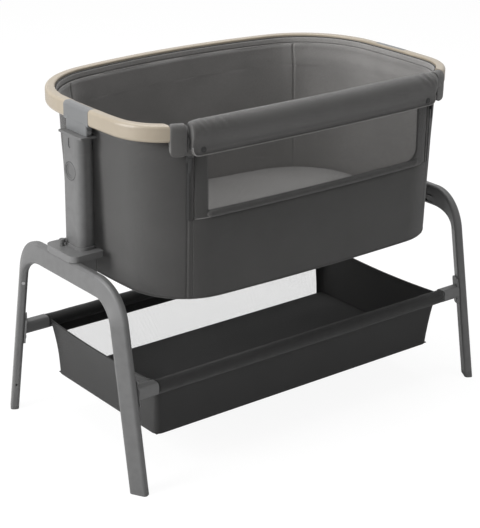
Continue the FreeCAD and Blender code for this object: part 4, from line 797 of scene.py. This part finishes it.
# Where the sleeves beside the rail begin and end, and where the zip's tape stands between.
SLEEVE_FROM, SLEEVE_END, TAPE_X = 0.3245, 0.354, 0.3212
SLEEVE_SECTION = (
    (-0.0228, 0.6640), (-0.0234, 0.6850), (-0.0232, 0.7030), (-0.0215, 0.7170),
    (-0.0140, 0.7232), (-0.0060, 0.7236), (0.0005, 0.7215), (0.0044, 0.7140),
    (0.0049, 0.7020), (0.0048, 0.6880), (0.0046, 0.6760), (0.0046, 0.6660),
    (0.0048, 0.6612), (0.0030, 0.6603), (0.0010, 0.6612), (-0.0100, 0.6615))


# Height and distance out from the rim's outline.
TAPE_PATH = ((0.656, -0.012), (0.662, -0.004), (0.672, 0.0008), (0.690, 0.0020),
             (0.706, 0.0012), (0.716, -0.006))


def build_sleeves():
    """Padded cloth over the rim beside the rail's ends, with the end of the zip's tape
    standing in the gap."""
    def swell(x, out, z):
        hem = dip(z - 0.6645, 0.0014) if out > 0 else 0.0
        return 0.0008 * wobble(x * 1.5, z, 0.024, 6.0) - 0.0003 - 0.0009 * hem

    for name, side in SIDES:
        x0, x1 = sorted((side * SLEEVE_FROM, side * SLEEVE_END))
        sleeve = sweep_rail("corner_cloth_" + name, x0, x1, SLEEVE_SECTION, swell, "tub",
                            "tub_fabric", "corner_sleeve_" + name, 0.003, 0.006)
        line = [rim_front(side * (TAPE_X - 0.0008 * math.sin(9 * k)), z, out)
                for k, (z, out) in enumerate(TAPE_PATH)]
        make_piping("zip_tape_" + name, line, TAPE_RADIUS, RAIL_CLOTH, "tub", "tub_fabric",
                    lambda k, p: p.z)


# ------------------------------------------------------------------ drop side
# The window's edges, the radii of its left and right corner and of the panel's, and the
# roll below it.
WINDOW_LEFT, WINDOW_RIGHT, WINDOW_LOW = -0.277, 0.271, 0.546
WINDOW_ROUND, PANEL_ROUND = (0.004, 0.026), (0.002, 0.002)
PANEL_TOP = HEM + 0.006
ROLL_Z, ROLL_OUT, ROLL_RADIUS = 0.5385, 0.0012, 0.0062


def u_path(left, right, low, rounds):
    """Points (x, z) down the left side from the panel's top, along the bottom and up the
    right side. rounds are the radii of the left and the right corner."""
    upright, level, corner = 16, 90, 6
    r0, r1 = rounds
    path = [(left, z) for z in np.linspace(PANEL_TOP, low + r0, upright, endpoint=False)]
    for k in range(corner):
        turn = math.pi + math.pi / 2 * k / corner
        path.append((left + r0 + r0 * math.cos(turn), low + r0 + r0 * math.sin(turn)))
    path += [(x, low) for x in np.linspace(left + r0, right - r1, level, endpoint=False)]
    for k in range(corner):
        turn = -math.pi / 2 + math.pi / 2 * k / corner
        path.append((right - r1 + r1 * math.cos(turn), low + r1 + r1 * math.sin(turn)))
    return path + [(right, z) for z in np.linspace(low + r1, PANEL_TOP, upright)]


def build_side_cloth():
    """Cloth round the window: two upright strips and the strip along the fold."""
    window = u_path(WINDOW_LEFT, WINDOW_RIGHT, WINDOW_LOW, WINDOW_ROUND)
    panel = u_path(-PANEL_HALF, PANEL_HALF, SIDE_LOW, PANEL_ROUND)

    def flat(share, ends):
        (x0, z0), (x1, z1) = ends
        return x0 + (x1 - x0) * share, z0 + (z1 - z0) * share

    def over(share, ends):
        x, z = flat(share, ends)
        p, n = front_point(x, z)
        turned = 0.0007 * (1 - share) ** 4 - 0.0011 * share ** 10
        return p + n * (-0.0003 + turned + 0.0004 * wobble(x, z, 0.05, 2.0))

    def under(share, ends):
        return front_point(*flat(share, ends), -0.0021)[0]

    shape = two_layers(np.linspace(0, 1, 7), list(zip(window, panel)), over, under, flat)
    make_piece("side_cloth_frame", shape, TUB_CLOTH, "drop_side", "tub_fabric", "side_panel")


def build_side_roll():
    """Soft roll along the lower edge of the window, which rises at the right end."""
    path, count, sides = [], 140, 14
    for k in range(count):
        share = k / (count - 1)
        x = WINDOW_LEFT - 0.002 + (WINDOW_RIGHT - WINDOW_LEFT + 0.004) * share
        rise = 0.005 * max(0.0, (share - 0.97) / 0.03) ** 2
        path.append(front_point(x, ROLL_Z + rise, ROLL_OUT)[0])

    def radius(share):
        ends = min(1.0, share / 0.012, (1 - share) / 0.012)
        return ROLL_RADIUS * (0.35 + 0.65 * math.sqrt(ends)) * (
            1 + 0.06 * wobble(share * 0.55, 0, 0.03, 7.0))

    points, faces = tube_along(path, radius, sides, 1.12)
    flat = [(p[0], 0.0008 * (k % sides)) for k, p in enumerate(points)]
    roll = make_piece("side_soft_roll", (points, faces, flat), TUB_CLOTH, "drop_side",
                      "rail_fabric")


def build_side_net():
    """Net window, held flat behind the cloth round it."""
    xs = np.linspace(WINDOW_LEFT - 0.006, WINDOW_RIGHT + 0.006, 90)
    zs = np.linspace(WINDOW_LOW - 0.006, HEM + 0.004, 22)
    shape = two_layers(zs, xs, lambda z, x: front_point(x, z, -0.0024)[0],
                       lambda z, x: front_point(x, z, -0.0027)[0])
    net = make_piece("side_net_window", shape, SIDE_NET, "drop_side", "side_net", "side_mesh")


SNAP_X, SNAP_Z, SNAP_OUT = 0.292, 0.671, 0.0080


def build_snaps():
    """Domed press studs with a rim, near both ends of the rail's hem."""
    profile = ((0.0, 0.0022), (0.0022, 0.0020), (0.0032, 0.0012), (0.0036, 0.0011),
               (0.0045, 0.0020), (0.0054, 0.0018), (0.0060, 0.0006), (0.0060, -0.0030))
    sides = 24
    turns = [2 * math.pi * s / sides for s in range(sides)]
    studs = []
    for side in (-1, 1):
        centre, n = front_point(side * SNAP_X, SNAP_Z, SNAP_OUT, RIM)
        across = Vector((-n.y, n.x, 0))
        points = [centre + n * h + across * (r * math.cos(turn)) + UP * (r * math.sin(turn))
                  for r, h in profile for turn in turns]
        studs.append((points, grid_faces(len(profile), sides, True, flip=True), []))
    make_piece("rail_snap_studs", join(*studs), SNAP_DARK, "drop_side", "fastener_steel",
               "side_snaps")


# ------------------------------------------------------------------ mattress
def build_mattress():
    """Thin pad with piped edges and a slight crown."""
    low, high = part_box("mattress")
    thick, inset, crown = 0.038, 0.0130, high.z - 0.0003
    # Share of the edge's height, and how far out from the tub's lower outline.
    section = ((0.0, 0.004), (0.0, 0.0), (0.06, -0.0015), (0.35, 0.0), (0.65, 0.0),
               (0.90, -0.0015), (0.955, 0.0012), (1.0, 0.0), (1.0, -0.006), (1.03, -0.02),
               (1.07, -0.05), (1.10, -0.09))
    rings = [[(p[0] + n[0] * (out - inset), p[1] + n[1] * (out - inset),
               low.z + thick * up + 0.0006 * wobble(p[0], p[1], 0.05, 2.0))
              for p, n in zip(*LOW)] for up, out in section]
    top = rings[-1]
    for share in (0.75, 0.5, 0.25, 0.05):
        rings.append([(x * share, y * share, crown - (crown - z) * share ** 2)
                      for x, y, z in top])
    points, faces = loft(rings)
    flat = [(x + z, y + z) for x, y, z in points]
    pad = make_piece("mattress_pad", (points, faces, flat), MATTRESS_KNIT, "mattress",
                     "mattress_fabric", "mattress")


# ------------------------------------------------------------------ storage basket
# Half lengths and half depths at the top and at the floor, heights, and the corners' radius.
BASKET_HALF, BASKET_HALF_LOW = 0.388, 0.377
BASKET_DEEP, BASKET_DEEP_LOW = 0.2017, 0.1837
BASKET_TOP, BASKET_LOW, BASKET_ROUND = 0.204, 0.080, 0.016
# The sleeves round the crossbars; then the rear band and the top of the front and rear wall.
SLEEVE_Z, SLEEVE_R, SLEEVE_HALF = 0.1985, 0.0140, 0.3905
BAND_HALF, BAND_LOW, WALL_TOP = 0.361, 0.166, 0.190


def basket_size(z):
    """Half length and half depth of the basket at height z, and the share of its height."""
    share = (z - BASKET_LOW) / (BASKET_TOP - BASKET_LOW)
    return (BASKET_HALF_LOW + (BASKET_HALF - BASKET_HALF_LOW) * share,
            BASKET_DEEP_LOW + (BASKET_DEEP - BASKET_DEEP_LOW) * share, share)


def basket_outline(z):
    """Rounded rectangle of the basket at height z from the rear left end of the band round
    by the front: points, outward normals and distances."""
    half, deep = basket_size(z)[:2]
    r = BASKET_ROUND
    points, normals = [], []

    def straight(a, b, n, steps):
        for t in np.linspace(0, 1, steps, endpoint=False):
            points.append((a[0] + (b[0] - a[0]) * t, a[1] + (b[1] - a[1]) * t))
            normals.append(n)

    def corner(cx, cy, start):
        for k in range(8):
            turn = start + math.pi / 2 * k / 8
            points.append((cx + r * math.cos(turn), cy + r * math.sin(turn)))
            normals.append((math.cos(turn), math.sin(turn)))

    straight((-BAND_HALF, deep), (-half + r, deep), (0, 1), 4)
    corner(-half + r, deep - r, math.pi / 2)
    straight((-half, deep - r), (-half, -deep + r), (-1, 0), 34)
    corner(-half + r, -deep + r, math.pi)
    straight((-half + r, -deep), (half - r, -deep), (0, -1), 90)
    corner(half - r, -deep + r, -math.pi / 2)
    straight((half, -deep + r), (half, deep - r), (1, 0), 34)
    corner(half - r, deep - r, 0)
    straight((half - r, deep), (BAND_HALF, deep), (0, 1), 4)
    points, normals = np.array(points + [(BAND_HALF, deep)]), np.array(normals + [(0, 1)])
    steps = np.linalg.norm(np.diff(points, axis=0), axis=1)
    return points, normals, np.concatenate([[0], np.cumsum(steps)])


def end_sag(x, y, share):
    """How far the top edge of an end panel hangs between the two crossbars."""
    if abs(x) < BASKET_HALF_LOW - 0.004:
        return 0.0
    across = max(0.0, 1 - (y / (BASKET_DEEP - BASKET_ROUND)) ** 2)
    return 0.007 * across * share ** 3


def build_basket_cloth():
    """Front wall, ends and floor, sewn to a sleeve round the front crossbar."""
    heights = heights_between(BASKET_LOW, BASKET_TOP, 22, (
        BASKET_LOW + 0.002, BASKET_TOP - 0.004, BASKET_TOP - 0.0055))
    outline = {z: list(zip(*basket_outline(z))) for z in heights}

    def wall(depth, hem_side):
        def spot(z, k):
            share = basket_size(z)[2]
            p, n, u = outline[z][k]
            belly = math.sin(math.pi * min(1.0, share))
            puff = 0.0012 * wobble(u, z, 0.09, 21.0) * belly - 0.0030 * belly
            on_end = abs(n[0]) > 0.5
            hem = 0.0007 * dip(z - BASKET_TOP, 0.004) if on_end else 0.0
            d = depth + puff + hem_side * hem
            top = min(z, WALL_TOP) if not on_end and n[1] < 0 else z
            return (p[0] + n[0] * d, p[1] + n[1] * d + STAND_Y,
                    top - end_sag(p[0], p[1], share))
        return spot

    walls = two_layers(heights, range(len(outline[heights[0]])), wall(-0.0002, 1),
                       wall(-0.0020, -1), lambda z, k: (outline[z][k][2], z))
    xs = np.linspace(-BASKET_HALF_LOW + 0.002, BASKET_HALF_LOW - 0.002, 60)
    ys = np.linspace(-BASKET_DEEP_LOW + 0.002, BASKET_DEEP_LOW - 0.002, 30)
    floor = two_layers(ys, xs, lambda y, x: (x, y + STAND_Y, BASKET_LOW + 0.0019),
                       lambda y, x: (x, y + STAND_Y, BASKET_LOW + 0.0003))
    make_piece("basket_sling", join(walls, floor, crossbar_sleeve(-1)), BASKET_CLOTH, "stand",
               "basket_fabric", "basket_cloth")


def crossbar_sleeve(end):
    """Sleeve of cloth round a crossbar with soft gathers and a sewn ridge below."""
    sides, count, y0 = 22, 150, STAND_Y + end * BASKET_DEEP
    turns = [2 * math.pi * s / sides for s in range(sides)]
    xs = [-SLEEVE_HALF + 2 * SLEEVE_HALF * k / (count - 1) for k in range(count)]

    def tube(inset, ridge):
        def spot(x, turn):
            r = SLEEVE_R - inset + 0.0006 * wobble(x * 1.2, turn * 0.02, 0.03, 31.0)
            r += ridge * max(0.0, -math.sin(turn)) ** 6
            return x, y0 + r * math.cos(turn), SLEEVE_Z + r * math.sin(turn)
        return spot

    return two_layers(xs, turns, tube(0.0, 0.0022), tube(0.0014, 0.0),
                      lambda x, turn: (x, turn * SLEEVE_R), True)


def build_basket_back():
    """Band and sleeve along the rear crossbar, with the pale net below the band."""
    xs = np.linspace(-BAND_HALF, BAND_HALF, 90)

    def wall(z_low, z_high, rows, out, thick):
        def layer(inset):
            return lambda z, x: (x, STAND_Y + basket_size(z)[1] + out
                                 + 0.001 * wobble(x, z, 0.08, 41.0) - inset, z)
        return two_layers(np.linspace(z_low, z_high, rows), xs, layer(thick), layer(0.0))

    band = wall(BAND_LOW, WALL_TOP, 8, -0.0006, 0.0018)
    make_piece("basket_rear_band", join(band, crossbar_sleeve(1)), BASKET_CLOTH, "stand",
               "basket_fabric", "basket_band")
    net = make_piece("basket_rear_net", wall(BASKET_LOW + 0.002, BAND_LOW + 0.003, 20, -0.0012,
                                             0.0004), BASKET_NET, "stand", "basket_net",
                     "basket_mesh")


def build_basket_base():
    """Cloth-covered stiffener in the bottom with a bound edge."""
    low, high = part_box("basket_board")
    half, deep = (high.x - low.x) / 2, (high.y - low.y) / 2
    middle, r, least, steps = (high.y + low.y) / 2, 0.014, 0.002, 8
    corners = ((half - r, -deep + r, -90), (half - r, deep - r, 0),
               (-half + r, deep - r, 90), (-half + r, -deep + r, 180))
    rings = []
    for inset, z in ((0.0015, low.z + 0.0002), (0.0, low.z + 0.001), (0.0, high.z - 0.001),
                     (0.0012, high.z), (0.004, high.z - 0.0002), (0.012, high.z - 0.0006),
                     (0.05, high.z - 0.0004)):
        reach = max(r - inset, least)
        pull = inset if r - inset < least else 0.0
        ring = []
        for cx, cy, start in corners:
            for k in range(steps + 1):
                turn = math.radians(start + 90 * k / steps)
                ring.append((cx + reach * math.cos(turn) - math.copysign(pull, cx),
                             cy + reach * math.sin(turn) - math.copysign(pull, cy) + middle, z))
        rings.append(ring)
    points, faces = loft(rings)
    make_piece("basket_base_panel", (points, faces, [p[:2] for p in points]), BOARD_CLOTH,
               "stand", "board_fabric", "basket_board")


def build_button_shade_rings():
    """Black ring in the gap round each release button: painted shade of the gap."""
    steps = 48
    for name, side in SIDES:
        low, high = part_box("release_button_" + name)
        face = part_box("outer_post_" + name)[1 if side > 0 else 0].x
        x, y, z = face - side * 0.0004, (low.y + high.y) / 2, (low.z + high.z) / 2
        radius = (high.y - low.y) / 2 + 0.0013
        turns = [2 * math.pi * k / steps for k in range(steps + 1)]
        points, faces = tube_along([(x, y + radius * math.cos(t), z + radius * math.sin(t))
                                    for t in turns], 0.0009, 6)
        # The black ring is painted shade, standing for the shadow in the gap round the button.
        make_piece("button_shade_ring_" + name, (points, faces, []), GLIDE_BLACK, "carriage",
                   "post_plastic")


build_button_shade_rings()
build_tub_cloth()
build_liner()
build_rail()
build_sleeves()
build_side_cloth()
build_side_roll()
build_side_net()
build_snaps()
build_mattress()
build_basket_cloth()
build_basket_back()
build_basket_base()


# ------------------------------------------------------------------ floor, light and camera
def build_stage():
    """Wide pale floor that reads as white to the camera and keeps a faint shadow."""
    mesh = bpy.data.meshes.new("floor")
    reach = 12.0
    mesh.from_pydata([(-reach, -reach, 0), (reach, -reach, 0), (reach, reach, 0),
                      (-reach, reach, 0)], [], [[0, 1, 2, 3]])
    floor = bpy.data.objects.new("floor", mesh)
    bpy.context.scene.collection.objects.link(floor)
    finish = bpy.data.materials.new("studio_floor")
    tree = empty_tree(finish)
    matt = place(tree, "BsdfDiffuse", {"Color": grey(0.80)})
    glow = place(tree, "Emission", {"Color": grey(1), "Strength": 1.07})
    seen = calculate(tree, "MULTIPLY", place(tree, "LightPath").outputs["Is Camera Ray"], 0.86)
    both = place(tree, "MixShader", {0: seen, 1: matt.outputs[0], 2: glow.outputs[0]})
    place(tree, "OutputMaterial", {0: both.outputs[0]})
    mesh.materials.append(finish)


def build_world(level):
    """Even light of the level given, which the camera, gloss and glass see as white."""
    world = bpy.data.worlds.new("studio")
    bpy.context.scene.world = world
    tree = empty_tree(world)
    soft, white = (place(tree, "Background", {"Color": grey(1), "Strength": strength})
                   for strength in (level, 1.0))
    rays = place(tree, "LightPath").outputs
    seen = calculate(tree, "MAXIMUM", rays["Is Camera Ray"], rays["Is Glossy Ray"])
    seen = calculate(tree, "MAXIMUM", seen, rays["Is Transmission Ray"])
    both = place(tree, "MixShader", {0: seen, 1: soft.outputs[0], 2: white.outputs[0]})
    place(tree, "OutputWorld", {0: both.outputs[0]})


def add_lamp(name, place_at, aim, size, power):
    """Soft rectangular lamp, aimed at a point."""
    lamp = bpy.data.lights.new(name, "AREA")
    lamp.shape = "RECTANGLE"
    lamp.size, lamp.size_y = size
    lamp.energy = power
    holder = bpy.data.objects.new(name, lamp)
    bpy.context.scene.collection.objects.link(holder)
    holder.location = place_at
    away = Vector(aim) - Vector(place_at)
    holder.rotation_euler = away.to_track_quat("-Z", "Y").to_euler()


def build_camera():
    """The photograph's view: solved from the feet, bars, basket and rim."""
    azimuth, elevation, roll = (math.radians(v) for v in (-38.49, 21.53, 0.86))
    distance, target = 3.407, Vector((-0.024, STAND_Y, 0.307))
    back = Vector((math.sin(azimuth) * math.cos(elevation),
                   -math.cos(azimuth) * math.cos(elevation), math.sin(elevation)))
    right = UP.cross(back).normalized()
    up = back.cross(right)
    turn = Matrix((right * math.cos(roll) + up * math.sin(roll),
                   up * math.cos(roll) - right * math.sin(roll), back)).transposed()
    lens = bpy.data.cameras.new("camera")
    lens.sensor_width, lens.lens = 36.0, 107.7
    lens.clip_end = 60
    camera = bpy.data.objects.new("camera", lens)
    bpy.context.scene.collection.objects.link(camera)
    camera.matrix_world = Matrix.Translation(target + back * distance) @ turn.to_4x4()
    bpy.context.scene.camera = camera


build_stage()
build_world(0.36)
add_lamp("soft_left", (-3.6, 0.4, 1.9), (0, 0, 0.5), (1.6, 2.4), 145)
add_lamp("soft_top", (0.1, 0.5, 3.6), (0, 0, 0.6), (2.6, 2.6), 100)
build_camera()
bpy.context.scene.view_settings.view_transform = "Standard"
